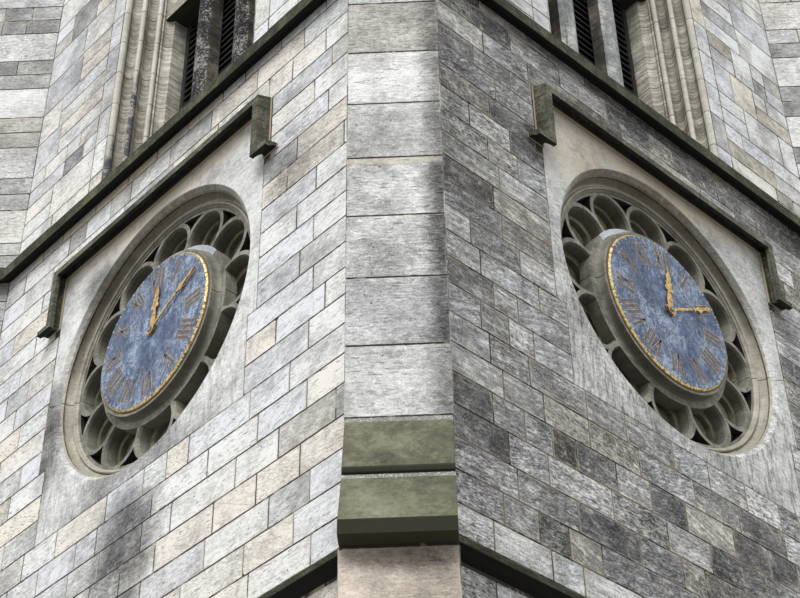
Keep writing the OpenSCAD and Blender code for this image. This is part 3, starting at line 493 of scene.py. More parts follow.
def dial_paint(name):
    """Slate-blue paint on metal: pale scratches and rain streaks, rust round the figures, dull gloss."""
    m = Mat(name)
    p = m.place()
    streak = m.noise(p, (11.0, 11.0, 2.4), 6.0, 0.66, 0.4)
    broad = m.noise(p, 2.6, 4.0, 0.6)
    cloud = m.noise(p, 12.0, 6.0, 0.75, 0.9)
    fine = m.noise(p, (60.0, 60.0, 14.0), 4.0, 0.7)
    t = m.madd(cloud, 0.4, streak * 0.3 + broad * 0.3)
    colour = m.ramp(t, [(0.37, col(36, 48, 70)), (0.45, col(58, 75, 104)), (0.53, col(90, 111, 144)),
                        (0.61, col(150, 171, 200))])
    vein = abs(m.noise(p, (7.0, 7.0, 5.0), 6.0, 0.72, 0.8) - 0.5)
    vein = m.step(vein, 0.026, 0.004) * m.step(broad, 0.42, 0.58, 0.2, 0.75)
    colour = m.mix(vein, colour, col(198, 206, 212))
    colour = m.mix(m.step(fine, 0.56, 0.68) * 0.5, colour, col(184, 194, 204))
    # old size and rust that has spread round each figure
    px, py, pz = m.split(p)
    side = m.math("LESS_THAN", abs(px), abs(py))
    u = px * side + py * (1.0 - side)
    v = pz - DIAL_Z
    r = m.hypot(u, v)
    angle = m.math("PINGPONG", m.math("ARCTAN2", u, v), math.pi / 12)
    near = m.step(angle * r, 0.125, 0.05) * m.step(r, 0.5, 0.58) * m.step(r, 0.85, 0.8)
    near *= m.step(cloud, 0.42, 0.58, 0.15, 0.85)
    colour = m.mix(near, colour, m.mix(0.55, colour, col(112, 92, 82)))
    rust = m.step(m.noise(p, 6.0, 6.0, 0.75, 0.5), 0.58, 0.74) * 0.4
    colour = m.mix(rust, colour, col(86, 82, 80))
    return m.set(Base_Color=colour, Roughness=m.step(fine, 0.3, 0.7, 0.5, 0.75), Metallic=0.1,
                 Normal=m.bump(fine + cloud, 0.3, 0.004))


def gilding(name, gold, worn, wear, metallic=0.75, scale=24.0, back=None):
    """Old gilding: bright leaf where it holds, brown size and grime where it has gone.

    back holds the depths below the wall's face between which the leaf gives out.
    """
    m = Mat(name)
    p = m.value("ShaderNodeTexCoord", {}, "Object")
    patch = m.noise(p, scale, 6.0, 0.75)
    fine = m.noise(p, 130.0, 3.0, 0.7)
    gone = m.step(patch * 0.6 + fine * 0.4, 0.6 - wear, 0.66 - wear * 0.6)
    if back:
        px, py, _ = m.split(p)
        out = m.max(abs(px), abs(py))
        depth = m.madd(patch, 0.02, HALF - 0.01 - out)
        gone = m.max(gone, m.step(depth, *back, 0.0, 0.9))
    return m.set(Base_Color=m.mix(gone, gold, worn), Roughness=m.step(gone, 0.0, 1.0, 0.34, 0.8),
                 Metallic=m.step(gone, 0.0, 1.0, metallic, 0.05),
                 Normal=m.bump(patch + fine, 0.7, 0.004))


def boards(name, dark, light, roughness=0.8):
    """Weathered timber with level grain."""
    m = Mat(name)
    p = m.place()
    grain = m.noise(p, (6.0, 6.0, 60.0), 5.0, 0.6, 0.5)
    broad = m.noise(p, 3.0, 4.0, 0.6)
    colour = m.ramp(grain * 0.6 + broad * 0.4, [(0.35, dark), (0.65, light)])
    return m.set(Base_Color=colour, Roughness=roughness, Normal=m.bump(grain, 0.5, 0.004))


def sheet_lead(name, paler=0):
    m = Mat(name)
    p = m.place()
    a = m.noise(p, 1.6, 6.0, 0.65, 0.6)
    b = m.noise(p, 22.0, 4.0, 0.7)
    stops = [(at, col(*(c + paler for c in rgb))) for at, rgb in (
        (0.35, (104, 110, 116)), (0.55, (150, 156, 160)), (0.7, (196, 200, 200)))]
    return m.set(Base_Color=m.ramp(a * 0.7 + b * 0.3, stops), Metallic=0.35,
                 Roughness=m.step(b, 0.3, 0.7, 0.45, 0.7), Normal=m.bump(b, 0.3, 0.004))


# Stains and clean patches: across, level above CLOCK_Z, radius across, radius up, depth
UNDER_DIAL = (0.0, -2.55, 0.75, 1.0, 0.8)
UNDER_STRING = (-1.2, 2.66, 2.6, 0.25, 0.9)
UNDER_HOOD = (0.0, 1.70, 2.6, 0.30, 1.0)
BESIDE_HOOD = (-1.05, 1.25, 0.45, 0.35, 0.5)
PIER_BAND = (0.0, -1.57, 0.8, 0.05, 0.75)
# What materials have in common
PANEL = {"fringe": 0.0, "bedding": 0.25, "rough": 0.4, "ring_stain_and_shade": 0.85,
         "joints": (col(84, 82, 78), col(206, 199, 182), 0.75)}
JAMB = {"course": QUOIN_RISE, "first": QUOIN_BED, "grit": 0.3}
JAMB_SHADES = ((160, 156, 146), (203, 199, 188), (236, 233, 223))
WHEEL = {"course": 4.0, "first": 12.545, "grit": 0.25}
MATS = {
    "pale": ashlar(
        "ashlar_pale", 0.93, 0.30, 4.0, fringe=0.25, cloud=0.6, dashes=0.6, tints=0.6, spots=0.8,
        pits=0.8, creams=[UNDER_STRING], warm_colour=col(255, 242, 224),
        stains=[UNDER_DIAL, (-2.6, -3.0, 1.2, 1.3, 0.5), (-1.2, -3.2, 1.5, 0.9, 0.3),
                (0.0, 6.0, 4.0, 4.5, 0.3), (2.2, 0.6, 0.45, 1.1, 0.35)]),
    "sooty": ashlar(
        "ashlar_sooty", 0.85, 0.52, 0.8, fringe=0.6, fringe_width=0.014, bedding=0.7, dashes=1.2,
        grain=0.9, patches=0.12, soot=0.12, pits=0.45, tints=0.45, stains=[(2.1, 0.3, 0.5, 1.0, 0.3)],
        joints=(col(42, 40, 38), col(150, 143, 127), 0.5)),
    "upper": ashlar(
        "ashlar_upper", 0.90, 0.24, 2.4, cloud=0.75, bedding=0.4, rough=0.5, tints=0.7, spots=0.8,
        soot=0.25, stains=[(-2.6, 4.6, 1.0, 2.4, 0.6)]),
    "pier": ashlar(
        "ashlar_pier", 0.90, 0.32, 1.2, fringe=0.35, cloud=0.5, bedding=0.3, grain=0.6, macro=0.4,
        soot=0.05, side_stain=1.0, tints=0.3, pits=0.9, slant=0.0, spots=0.7, creams=[PIER_BAND],
        buff=(col(214, 204, 184), col(204, 196, 178)), joints=(col(66, 62, 58), col(190, 184, 168), 0.9)),
    "foot": ashlar(
        "ashlar_foot", 0.88, 0.10, 1.5, fringe=0.4, fringe_width=0.04, bedding=0.2, dashes=0.3,
        grain=0.45, rough=0.4, soot=0.05, side_stain=0.3, tints=0.4, warmth=0.9, pits=0.2, slant=0.0,
        warm_colour=col(255, 238, 222),
        stains=[(0.0, -5.42, 0.5, 0.14, 0.5), (0.2, -5.8, 0.25, 0.5, 0.25)]),
    "panel_pale": ashlar(
        "panel_pale", 0.90, 0.08, cloud=0.5, dashes=0.3, grain=0.4, soot=0.4, creams=[UNDER_HOOD],
        streaks=0.25, buff=(col(240, 233, 216), col(230, 222, 204)),
        stains=[(0.0, -1.75, 1.6, 0.5, 0.3), BESIDE_HOOD, (-1.75, -0.5, 0.35, 1.0, 0.7)], **PANEL),
    "panel_sooty": ashlar(
        "panel_sooty", 0.85, 0.08, dashes=0.4, grain=0.45, soot=0.3, streaks=0.45,
        creams=[UNDER_HOOD, (-1.3, 1.25, 0.9, 0.8, 0.75)],
        buff=(col(222, 213, 194), col(208, 199, 180)),
        stains=[(0.0, -1.75, 1.7, 0.5, 0.1), BESIDE_HOOD], **PANEL),
    "mortar": mortar("mortar", col(62, 60, 57), col(170, 163, 148), 0.85),
    "brown_mortar": mortar("brown_mortar", col(40, 37, 35), col(128, 121, 107), 0.5),
    "carved": carved(
        "carved_stone", ((104, 104, 96), (140, 139, 128), (176, 174, 162)), 0.3, 0.7, 0.4,
        shade_and_soot_rgb=(44, 44, 38), reach=0.1, under_to=-0.65, **WHEEL),
    "fillet": carved(
        "fillet_stone", ((104, 104, 96), (136, 135, 126), (172, 170, 160)), 0.2, 0.3, 0.2, streak=0.4,
        grit=0.35, contrast=1.2),
    "ring": carved(
        "ring_stone", ((142, 138, 126), (182, 178, 164), (212, 208, 195)), 0.4, 0.7, 0.5,
        shade_and_soot_rgb=(44, 41, 29), streak=0.35, under_to=-0.6, arris=(-0.084, -0.058), **WHEEL),
    # near black: painted shade on the walls of the small piercings
    "shaded_pierced": carved("pierced_stone", ((26, 26, 22), (58, 57, 48)), 0.2, 0.8, 0.8),
    "petal_floor": carved(
        "petal_floor", ((96, 94, 72), (136, 133, 108), (176, 172, 148)), 0.2, 0.5, 0.6, reach=0.14),
    "jamb_pale": carved(
        "jamb_stone_pale", JAMB_SHADES, 0.4, 0.7, 0.5, variety=0.12, shade_and_soot_rgb=(40, 38, 34), jambs=0.9,
        **JAMB),
    "jamb_sooty": carved(
        "jamb_stone_sooty", JAMB_SHADES, 0.4, 0.7, 0.6, streak=0.25, variety=0.15, bedding=0.5,
        shade_and_soot_rgb=(40, 37, 32), jambs=0.0, **JAMB),
    "string": carved(
        "string_stone", ((34, 35, 27), (64, 67, 52), (108, 108, 88)), 0.75, 1.5, 0.85, streak=0.45,
        shade_and_soot_rgb=(9, 9, 7), grit=0.5, under_to=-0.4),
    "hood": carved(
        "hood_stone", ((50, 50, 42), (86, 86, 73), (136, 135, 120)), 0.5, 1.0, 0.6, streak=0.45,
        grit=0.5, shade_and_soot_rgb=(8, 8, 7), reach=0.1, course=4.0, first=14.28, bead=True, under_to=-0.5),
    "weathering": carved(
        "weathering_stone", ((36, 37, 28), (98, 98, 84), (178, 176, 162)), 0.5, 1.3, 0.7, streak=0.5,
        moss_rgb=(92, 98, 56), bedding=0.0, grit=0.2, contrast=0.8, shade_and_soot_rgb=(14, 14, 9),
        under_to=-0.5, strips=((7.855, 7.915), (8.49, 8.56)),
        bands=[(7.25, 7.372, 1.0), (7.915, 7.975, 1.1)]),
    "black": carved(
        "sooty_tracery", ((44, 43, 40), (86, 82, 75), (150, 143, 130)), 0.3, 1.2, 0.8, streak=0.6,
        shade_and_soot_rgb=(30, 33, 23), grit=0.3),
    "nose_dark": carved(
        "tracery_nose_dark", ((22, 22, 24), (48, 48, 50), (160, 158, 152)), 0.1, 0.8, 0.5,
        streak=0.5, grit=0.8, contrast=1.5, bedding=0.0),
    "nose_pale": carved(
        "tracery_nose_pale", ((120, 124, 126), (160, 164, 164), (232, 232, 224)), 0.1, 0.8, 0.4,
        streak=0.8, grit=0.4, contrast=1.2, bedding=0.0),
    "transom": carved(
        "transom_stone", ((118, 116, 104), (160, 157, 144), (204, 200, 186)), 0.4, 1.8, 0.6, grit=0.4,
        shade_and_soot_rgb=(34, 39, 25), under_to=-0.4),
    "plinth": carved(
        "plinth_stone", ((92, 88, 80), (126, 121, 110), (160, 153, 139)), 0.8, 0.7, 0.6, course=0.327,
        streak=0.35, variety=0.3),
    "coping": carved(
        "coping_stone", ((96, 93, 85), (140, 135, 123), (178, 171, 156)), 0.85, 0.7, 0.7, course=0.5,
        first=0.3, streak=0.4, variety=0.2),
    "dial": dial_paint("dial_blue"),
    "gold": gilding("gilt_hands", (0.72, 0.48, 0.18, 1), col(66, 47, 30), 0.11),
    # dark brown: painted shade on the hands' sides, with worn gilding
    "shaded_hand_side": gilding("shaded_hand_sides", (0.24, 0.15, 0.07, 1), col(32, 25, 18), 0.14, 0.3),
    "rim_gold": gilding("gilt_rim", (0.86, 0.64, 0.27, 1), col(56, 42, 28), 0.13, 0.45, 26.0,
                        (0.058, 0.068)),
    "tick_gold": gilding("gilt_ticks", col(214, 208, 194), col(112, 114, 118), 0.14, 0.1, 11.0),
    "figure_gold": gilding("gilt_figures", col(112, 98, 90), col(84, 82, 84), 0.16, 0.1),
    # near black: painted shade on the louvres deep in the belfry openings
    "louvre": boards("shaded_louvre_boards", col(10, 10, 10), col(34, 33, 31)),
    "oak": boards("weathered_oak", col(48, 38, 28), col(104, 86, 64), 0.7),
    "lead": sheet_lead("sheet_lead"),
    "white_lead": sheet_lead("white_lead", 46),
}

# Masonry


def quarter(i):
    """Cosine and sine of the quarter turns that bring the south side to side i."""
    return round(math.cos(math.pi / 2 * i)), round(math.sin(math.pi / 2 * i))


def turn(x, y, z, c, s):
    return np.stack([c * x - s * y, s * x + c * y, z], -1)


def on_side(i, face, inward=False):
    """Maps (across, level, out of the face) on a side to a place: 0 south, 1 east, 2 north, 3 west."""
    def place(u, z, h):
        return turn(-u if inward else u, h - face if inward else -face - h, z, *quarter(i))
    return place


def on_corner(i, which, face):
    """The same on a corner buttress: which is front, left or right, seen from outside."""
    a = math.radians(90 * i - 45)

    def place(u, z, h):
        x, y = {"front": (u, -face - h), "left": (-face - h, u), "right": (face + h, -u)}[which]
        return turn(x, y, z, math.cos(a), math.sin(a))
    return place


def add_piece(name, co, faces, material):
    """A mesh object on the tower's body."""
    mesh = bpy.data.meshes.new(name)
    mesh.from_pydata(co, [], faces)
    mesh.materials.append(MATS[material])
    obj = bpy.data.objects.new(name, mesh)
    bpy.context.scene.collection.objects.link(obj)
    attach(obj, "tower")
    return obj


class Masonry:
    """Collects stones and makes one mesh of them.

    Each stone is a closed block, let 3 mm into the CAD face, with worn arrises and a few
    chipped corners. wall keeps the place of each point on the wall from CLOCK_Z, st its place
    on the stone, sz the stone's size and rnd the stone's tone, tint and seed.
    """

    def __init__(self, name, material, seed):
        self.name, self.material = name, material
        self.rng = random.Random(seed)
        self.co, self.faces, self.count = [], [], 0
        self.attrs = {"st": [], "sz": [], "rnd": [], "wall": []}

    def stone(self, poly, place, gaps=(GAP,) * 4, tone=None):
        """poly is the outline as (across, level), anticlockwise, and gaps holds half the width of
        the joint along each edge; a negative one carries the stone past an arris."""
        r = self.rng
        n = len(poly)
        pts = np.array(poly, float)
        # inset every edge by its own gap
        dirs = [(pts[(k + 1) % n] - pts[k]) / np.linalg.norm(pts[(k + 1) % n] - pts[k]) for k in range(n)]
        norm = [np.array([-d[1], d[0]]) for d in dirs]
        corners = []
        for k in range(n):
            a, b = norm[k - 1], norm[k]
            m = np.array([a, b])
            if abs(np.linalg.det(m)) < 0.05:
                corners.append(pts[k] + b * gaps[k])
            else:
                corners.append(pts[k] + np.linalg.solve(m, np.array([gaps[k - 1], gaps[k]])))
        line = []
        for k in range(n):
            a, b = corners[k], corners[(k + 1) % n]
            length = np.linalg.norm(b - a)
            turn = abs(dirs[k - 1][0] * dirs[k][1] - dirs[k - 1][1] * dirs[k][0])
            if turn > 0.4 and length > 0.05:
                chip = r.uniform(0.012, 0.030) if r.random() < 0.10 else r.uniform(0.002, 0.008)
                back = min(chip * r.uniform(0.6, 1.4), 0.3 * np.linalg.norm(corners[k] - corners[k - 1]))
                line.append(corners[k] - dirs[k - 1] * back)
                line.append(corners[k] + dirs[k] * min(chip, 0.3 * length))
            else:
                line.append(corners[k])
            parts = max(1, round(length / 0.22))
            for q in range(1, parts):
                nudge = r.uniform(-0.0015, 0.0022)
                line.append(a + (b - a) * (q + r.uniform(-0.2, 0.2)) / parts + norm[k] * nudge)
        line = np.array(line)
        ahead = np.roll(line, -1, 0) - np.roll(line, 1, 0)
        ahead /= np.linalg.norm(ahead, axis=1)[:, None]
        inner = line + np.stack([-ahead[:, 1], ahead[:, 0]], -1) * BEVEL
        m = len(line)
        mid = line.mean(0)
        tilt = np.array([r.uniform(-1, 1), r.uniform(-1, 1)]) * 0.0014
        rise = LIFT + r.uniform(-0.0012, 0.0012) + (inner - mid) @ tilt
        ring = np.concatenate([line, line, inner])
        high = np.concatenate([np.full(m, -SUNK), np.full(m, LIFT * 0.35), rise])
        base = self.count
        self.co.append(place(ring[:, 0], ring[:, 1], high))
        for lo in (0, m):
            for k in range(m):
                j = (k + 1) % m
                self.faces.append((base + lo + k, base + lo + j, base + lo + m + j, base + lo + m + k))
        self.faces.append(tuple(base + 2 * m + k for k in range(m)))
        self.faces.append(tuple(base + m - 1 - k for k in range(m)))
        lo, hi = line.min(0), line.max(0)
        total = 3 * m
        seed = r.random()
        flat = [r.random() if tone is None else tone, r.random(), seed]
        self.attrs["st"].append(np.column_stack([ring - lo, np.zeros(total)]))
        self.attrs["sz"].append(np.tile([*(hi - lo), 0.0], (total, 1)))
        self.attrs["rnd"].append(np.tile(flat, (total, 1)))
        at = np.column_stack([ring[:, 0], ring[:, 1] - CLOCK_Z, np.full(total, seed * 0.2)])
        self.attrs["wall"].append(at)
        self.count += total

    def make(self):
        co = np.concatenate(self.co).tolist()
        obj = add_piece(self.name, co, self.faces, self.material)
        for key, parts in self.attrs.items():
            layer = obj.data.attributes.new(key, "FLOAT_VECTOR", "POINT")
            layer.data.foreach_set("vector", np.concatenate(parts).astype(np.float32).ravel())


def quad(u0, u1, z0, z1):
    return [(u0, z0), (u1, z0), (u1, z1), (u0, z1)]


def joints(rng, u0, u1, above, shortest, longest):
    """Places of the upright joints in one course, clear of those in the course below."""
    if u1 - u0 < 1.5 * shortest:
        return [u0, u1]
    for _ in range(40):
        at = [u0]
        while u1 - at[-1] > longest:
            at.append(at[-1] + rng.uniform(shortest, longest))
        if u1 - at[-1] < shortest * 0.6:
            at.pop()
        at.append(u1)
        if all(abs(a - b) > 0.07 for a in at[1:-1] for b in above):
            break
    return at


def gaps(a, b, u0, u1, arris):
    """The gaps of a stone from a to b in a stretch from u0 to u1: at an arris it goes past it."""
    left = -GAP if arris[0] and a == u0 else GAP
    right = -GAP if arris[1] and b == u1 else GAP
    return GAP, right, GAP, left


def fill(wall, place, runs, levels, tones=None, arris=(False, False), spans=(0.36, 0.92)):
    """Courses between levels. runs(z0, z1) gives the stretches (u0, u1) of each course."""
    above = []
    for z0, z1 in zip(levels, levels[1:]):
        here = []
        course = wall.rng.random()
        for u0, u1 in runs(z0, z1):
            at = joints(wall.rng, u0, u1, above, *spans)
            here += at[1:-1]
            for a, b in zip(at, at[1:]):
                tone = tones(wall.rng, (z0 + z1) / 2) if tones else (
                    0.3 * course + 0.7 * wall.rng.random())
                wall.stone(quad(a, b, z0, z1), place, gaps(a, b, u0, u1, arris), tone)
        above = here


def stacked(wall, place, u0, u1, z0, z1, arris=(False, False), whole=0.3, spans=(0.34, 0.95),
            tones=None):
    """One quoin course: some stones as high as the quoins, the others in two rows."""
    mid = (z0 + z1) / 2
    at = joints(wall.rng, u0, u1, [], *spans)
    for a, b in zip(at, at[1:]):
        rows = [(z0, z1)] if wall.rng.random() < whole else [(z0, mid), (mid, z1)]
        for low, high in rows:
            cuts = [a, b]
            if len(rows) > 1 and b - a > 0.6 and wall.rng.random() < 0.6:
                cuts.insert(1, a + (b - a) * wall.rng.uniform(0.35, 0.65))
            for c, d in zip(cuts, cuts[1:]):
                wall.stone(quad(c, d, low, high), place, gaps(c, d, u0, u1, arris),
                           tones and tones(wall.rng, low))


def spaced(z0, z1, pitch):
    count = max(1, round((z1 - z0) / pitch))
    return [z0 + (z1 - z0) * k / count for k in range(count + 1)]


# Course joints of the clock stage, as they lie in the photograph's courses
CLOCK_COURSES = [8.555, 8.848, 9.160, 9.478, 9.803, 10.128, 10.440, 10.765, 11.090, 11.395, 11.695]
CLOCK_COURSES += [11.695 + COURSE * k for k in range(1, 12)] + [15.277]
PIER_COURSES = [8.55, 9.183, 9.824, 10.448, 11.070, 11.685, 12.301, 12.927, 13.55, 14.17, 14.79, 15.277]
# Bed joints of the belfry stage's quoins, two ashlar courses apart
QUOIN_COURSES = [15.517] + [QUOIN_BED + QUOIN_RISE * k for k in range(1, 10)]
QUOIN_U = 1.69
# The panel of two large stones round the roundel, above and below CLOCK_Z
PANEL_LOW = -1.835
PANEL_STEP = -0.905
PANEL_TOP = 1.787
PANEL_U = 1.67
PANEL_EDGE = 1.796
HOOD_TOP = 14.479
HOOD_FOOT = 1.0
HOOD_U = 1.888
# The sharp arris of the roundel's ring: its radius and its depth
RING_ARRIS_R = 1.589
RING_ARRIS_D = 0.058


def stretch(u0, u1):
    """Courses that run from u0 to u1 without a gap."""
    return lambda z0, z1: [(u0, u1)]


def clock_runs():
    """Stretches of ashlar beside the roundel's panel and the hood mould, by course."""
    edge = HALF - BUTTRESS_HALF * math.sqrt(2)

    def runs(z0, z1):
        mid = (z0 + z1) / 2 - CLOCK_Z
        if mid < PANEL_LOW or z0 > HOOD_TOP - 0.1:
            return [(-edge, edge)]
        if z1 - CLOCK_Z > HOOD_FOOT:
            inner = HOOD_U
        elif mid < PANEL_STEP + 0.005:
            inner = PANEL_U
        else:
            inner = PANEL_EDGE
        return [(-edge, -inner), (inner, edge)]
    return runs


def slab(wall, place, outline, angles):
    """One stone of the roundel's surround. outline runs round its outer edge and angles along its
    inner one, where it follows the splay down to the ring's arris."""
    lift = 0.004

    def arc(r):
        return np.array([(r * math.cos(a), r * math.sin(a) + DIAL_Z - CLOCK_Z) for a in angles])

    out = np.array(outline, float)
    last = len(out) - 1
    inward = np.zeros_like(out)
    for k in range(len(out)):
        before = out[k] - out[max(k - 1, 0)]
        after = out[min(k + 1, last)] - out[k]
        for d in (before, after):
            length = np.linalg.norm(d)
            if length > 1e-9:
                inward[k] += np.array([-d[1], d[0]]) / length
    inward /= np.abs(inward).max(1)[:, None].clip(0.5)
    inward[0] = inward[-1] = 0.0
    out[0], out[-1] = arc(ROUNDEL_R + GAP)[[-1, 0]]
    flat = [out + inward * GAP, out + inward * GAP, out + inward * (GAP + BEVEL)]
    flat += [arc(r)[::-1] for r in (ROUNDEL_R, RING_ARRIS_R + 0.004, RING_ARRIS_R, RING_ARRIS_R,
                                    ROUNDEL_R)]
    high = [-SUNK, lift * 0.4, lift, lift, lift - RING_ARRIS_D, lift * 0.4 - RING_ARRIS_D,
            -RING_ARRIS_D - SUNK, -SUNK]
    start, at = [], wall.count
    for row, h in zip(flat, high):
        start.append(at)
        at += len(row)
        wall.co.append(place(row[:, 0], row[:, 1] + CLOCK_Z, np.full(len(row), h)))
        wall.attrs["st"].append(np.column_stack([row + 50, np.zeros(len(row))]))
        wall.attrs["sz"].append(np.tile([100.0, 100.0, 0.0], (len(row), 1)))
        wall.attrs["rnd"].append(np.tile([0.5, 0.55, 0.37], (len(row), 1)))
        wall.attrs["wall"].append(np.column_stack([row, np.full(len(row), 0.1)]))
    wall.count = at

    def skin(a, b, n):
        for k in range(n - 1):
            wall.faces.append((start[a] + k, start[a] + k + 1, start[b] + k + 1, start[b] + k))

    m, n = len(out), len(angles)
    skin(0, 1, m)
    skin(1, 2, m)
    wall.faces.append(tuple(start[2] + k for k in range(m)) + tuple(start[3] + k for k in range(n))[::-1])
    for a in (3, 4, 5, 6):
        skin(a, a + 1, n)
    under = tuple(start[0] + k for k in range(m)) + tuple(start[7] + k for k in range(n))[::-1]
    wall.faces.append(under[::-1])
    wall.faces.append(tuple(start))
    wall.faces.append(tuple(start[k] + (m if k < 3 else n) - 1 for k in range(8))[::-1])


def panel(wall, place):
    """Two large smooth stones round the roundel, which meet in one joint on each side."""
    edge = PANEL_EDGE
    low, high = -0.09, -0.02
    a = math.asin((low + CLOCK_Z - DIAL_Z) / ROUNDEL_R)

    def line(*pts):
        out = [pts[0]]
        for p, q in zip(pts, pts[1:]):
            steps = max(1, round(math.dist(p, q) / 0.3))
            out += [(p[0] + (q[0] - p[0]) * k / steps, p[1] + (q[1] - p[1]) * k / steps)
                    for k in range(1, steps + 1)]
        return out

    count = 48
    gap = GAP / ROUNDEL_R
    upper = [a + gap + (math.pi - 2 * a - 2 * gap) * k / count for k in range(count + 1)]
    lower = [math.pi - a + gap + (math.pi + 2 * a - 2 * gap) * k / count for k in range(count + 1)]
    x = ROUNDEL_R * math.cos(a)
    slab(wall, place, line((x, low), (edge, high), (edge, PANEL_TOP), (-edge, PANEL_TOP), (-edge, high),
                           (-x, low)), upper[::-1])
    slab(wall, place, line((-x, low), (-edge, high), (-edge, PANEL_STEP), (-PANEL_U, PANEL_STEP),
                           (-PANEL_U, PANEL_LOW), (PANEL_U, PANEL_LOW), (PANEL_U, PANEL_STEP),
                           (edge, PANEL_STEP), (edge, high), (x, low)), lower[::-1])


def arch_runs(edge, half, spring, centre, cover):
    """Stretches beside a pointed opening: cover is how far its surround reaches past the edge."""
    def runs(z0, z1):
        if z0 < spring - 1e-6:
            return [(-edge, -half), (half, edge)]
        r = centre + half + cover
        dz = max(0.0, z0 - spring)
        if dz >= r:
            return [(-edge, edge)]
        u = math.sqrt(r * r - dz * dz) - centre
        return [(-edge, edge)] if u <= 0.02 else [(-edge, -u), (u, edge)]
    return runs


def make_walls():
    look = ("sooty", "sooty", "pale", "pale")
    for i, side in enumerate(SIDES):
        ground = Masonry(f"ashlar_ground_{side}", look[i], 100 + i)
        edge = GROUND_HALF - BUTTRESS_HALF * math.sqrt(2)
        # the doorway is in the north side
        runs = stretch(-edge, edge)
        if i == 2:
            runs = arch_runs(edge, DOOR_HALF, DOOR_SPRING_Z, DOOR_ARCH_CENTRE, 0.0)
        fill(ground, on_side(i, GROUND_HALF), runs, spaced(PLINTH_TOP, LOWER_STRING_Z, COURSE))
        ground.make()

        clock = Masonry(f"ashlar_clock_{side}", look[i], 200 + i)
        levels = [HOOD_TOP if abs(z - HOOD_TOP) < 0.1 else z for z in CLOCK_COURSES]
        fill(clock, on_side(i, HALF), clock_runs(), levels,
             spans=(0.30, 0.80) if i < 2 else (0.34, 0.95))
        clock.make()
        smooth = Masonry(f"panel_{side}", "panel_" + look[i], 300 + i)
        panel(smooth, on_side(i, HALF))
        smooth.make()

        belfry = Masonry(f"ashlar_belfry_{side}", "upper" if i < 2 else "pale", 400 + i)
        edge = BELFRY_HALF - BUTTRESS_HALF * math.sqrt(2)
        place = on_side(i, BELFRY_HALF)
        inner = OPENING_HALF + 0.002
        for z0, z1 in zip(QUOIN_COURSES, QUOIN_COURSES[1:]):
            for s in (-1, 1):
                belfry.stone(quad(*sorted((s * inner, s * QUOIN_U)), z0, z1), place)
                stacked(belfry, place, *sorted((s * QUOIN_U, s * edge)), z0, z1)
        fill(belfry, place, arch_runs(edge, inner, SPRING_Z, ARCH_CENTRE, 0.17),
             spaced(QUOIN_COURSES[-1], BELFRY_TOP, 0.28))
        belfry.make()

        top = Masonry(f"ashlar_parapet_{side}", look[i], 500 + i)
        levels = spaced(PARAPET_Z, PARAPET_TOP - 0.01, 0.33)
        fill(top, on_side(i, BELFRY_HALF), stretch(-3.37, 3.37), levels)
        fill(top, on_side(i, BELFRY_HALF - PARAPET_T, True), stretch(-3.30, 3.30), levels)
        top.make()


def pier_tone(rng, z):
    """Tones of the buttress stones: one in the middle of the clock stage is darkest."""
    if 12.3 < z < 12.93:
        return rng.uniform(0.78, 0.88)
    return rng.uniform(0.45, 0.6) if z < 11.68 else rng.uniform(0.0, 0.25)


def side_tone(rng, _):
    """The sides of the buttresses are darker than their fronts."""
    return rng.uniform(0.5, 0.95)


def make_buttresses():
    for i, corner in enumerate(CORNERS):
        pier = Masonry(f"ashlar_buttress_{corner}", "pier", 600 + i)
        foot = Masonry(f"ashlar_foot_{corner}", "foot", 650 + i)
        stages = [
            (foot, GROUND_HALF, BUTTRESS_FOOT, spaced(PLINTH_TOP, 7.26, 0.61)),
            (pier, HALF, BUTTRESS_OUT, PIER_COURSES),
            (pier, BELFRY_HALF, BUTTRESS_OUT, QUOIN_COURSES + [21.03, 21.39]),
            (pier, BELFRY_HALF, BUTTRESS_HEAD, spaced(22.35, BELFRY_TOP, 0.58)),
        ]
        for wall, wall_half, out, levels in stages:
            face = CORNER_R + out
            near = wall_half * math.sqrt(2) - BUTTRESS_HALF
            fill(wall, on_corner(i, "front", face), stretch(-BUTTRESS_HALF, BUTTRESS_HALF), levels,
                 pier_tone, (True, True), (0.7, 0.9))
            sides = [(on_corner(i, which, BUTTRESS_HALF), s, (s < 0, s > 0))
                     for which, s in (("left", -1), ("right", 1))]
            if levels[0] != QUOIN_COURSES[0]:
                for place, s, ends in sides:
                    fill(wall, place, stretch(*sorted((s * near, s * face))),
                         spaced(levels[0], levels[-1], COURSE), side_tone, ends, (0.3, 0.8))
                continue
            # beside the belfry every other quoin course has one large stone next to the wall
            block = near + 0.62 * (face - near)
            for k, (z0, z1) in enumerate(zip(levels, levels[1:])):
                for place, s, ends in sides:
                    if k % 2:
                        wall.stone(quad(*sorted((s * near, s * block)), z0, z1), place)
                        stacked(wall, place, *sorted((s * block, s * face)), z0, z1, ends, 0.0,
                                tones=side_tone)
                    else:
                        stacked(wall, place, *sorted((s * near, s * face)), z0, z1, ends, 0.0,
                                (0.7, 1.2), side_tone)
        pier.make()
        foot.make()


make_walls()
make_buttresses()

# CAD nodes' looks


def soften(obj, width, angle=32):
    """Rounds the edges that turn by more than the angle."""
    weld = obj.modifiers.new("weld", "WELD")
    weld.merge_threshold = 0.00005
    bevel = obj.modifiers.new("bevel", "BEVEL")
    bevel.width = width
    bevel.segments = 2
    bevel.limit_method = "ANGLE"
    bevel.angle_limit = math.radians(angle)
    bevel.miter_outer = "MITER_ARC"
    bevel.use_clamp_overlap = True
    bevel.harden_normals = False


def dress(obj, *keys):
    obj.data.materials.clear()
    for k in keys:
        obj.data.materials.append(MATS[k])


def pick_faces(obj, test):
    """Gives the second material to the faces that the test picks by centre and normal."""
    for f in obj.data.polygons:
        f.material_index = 1 if test(f.center, f.normal) else 0


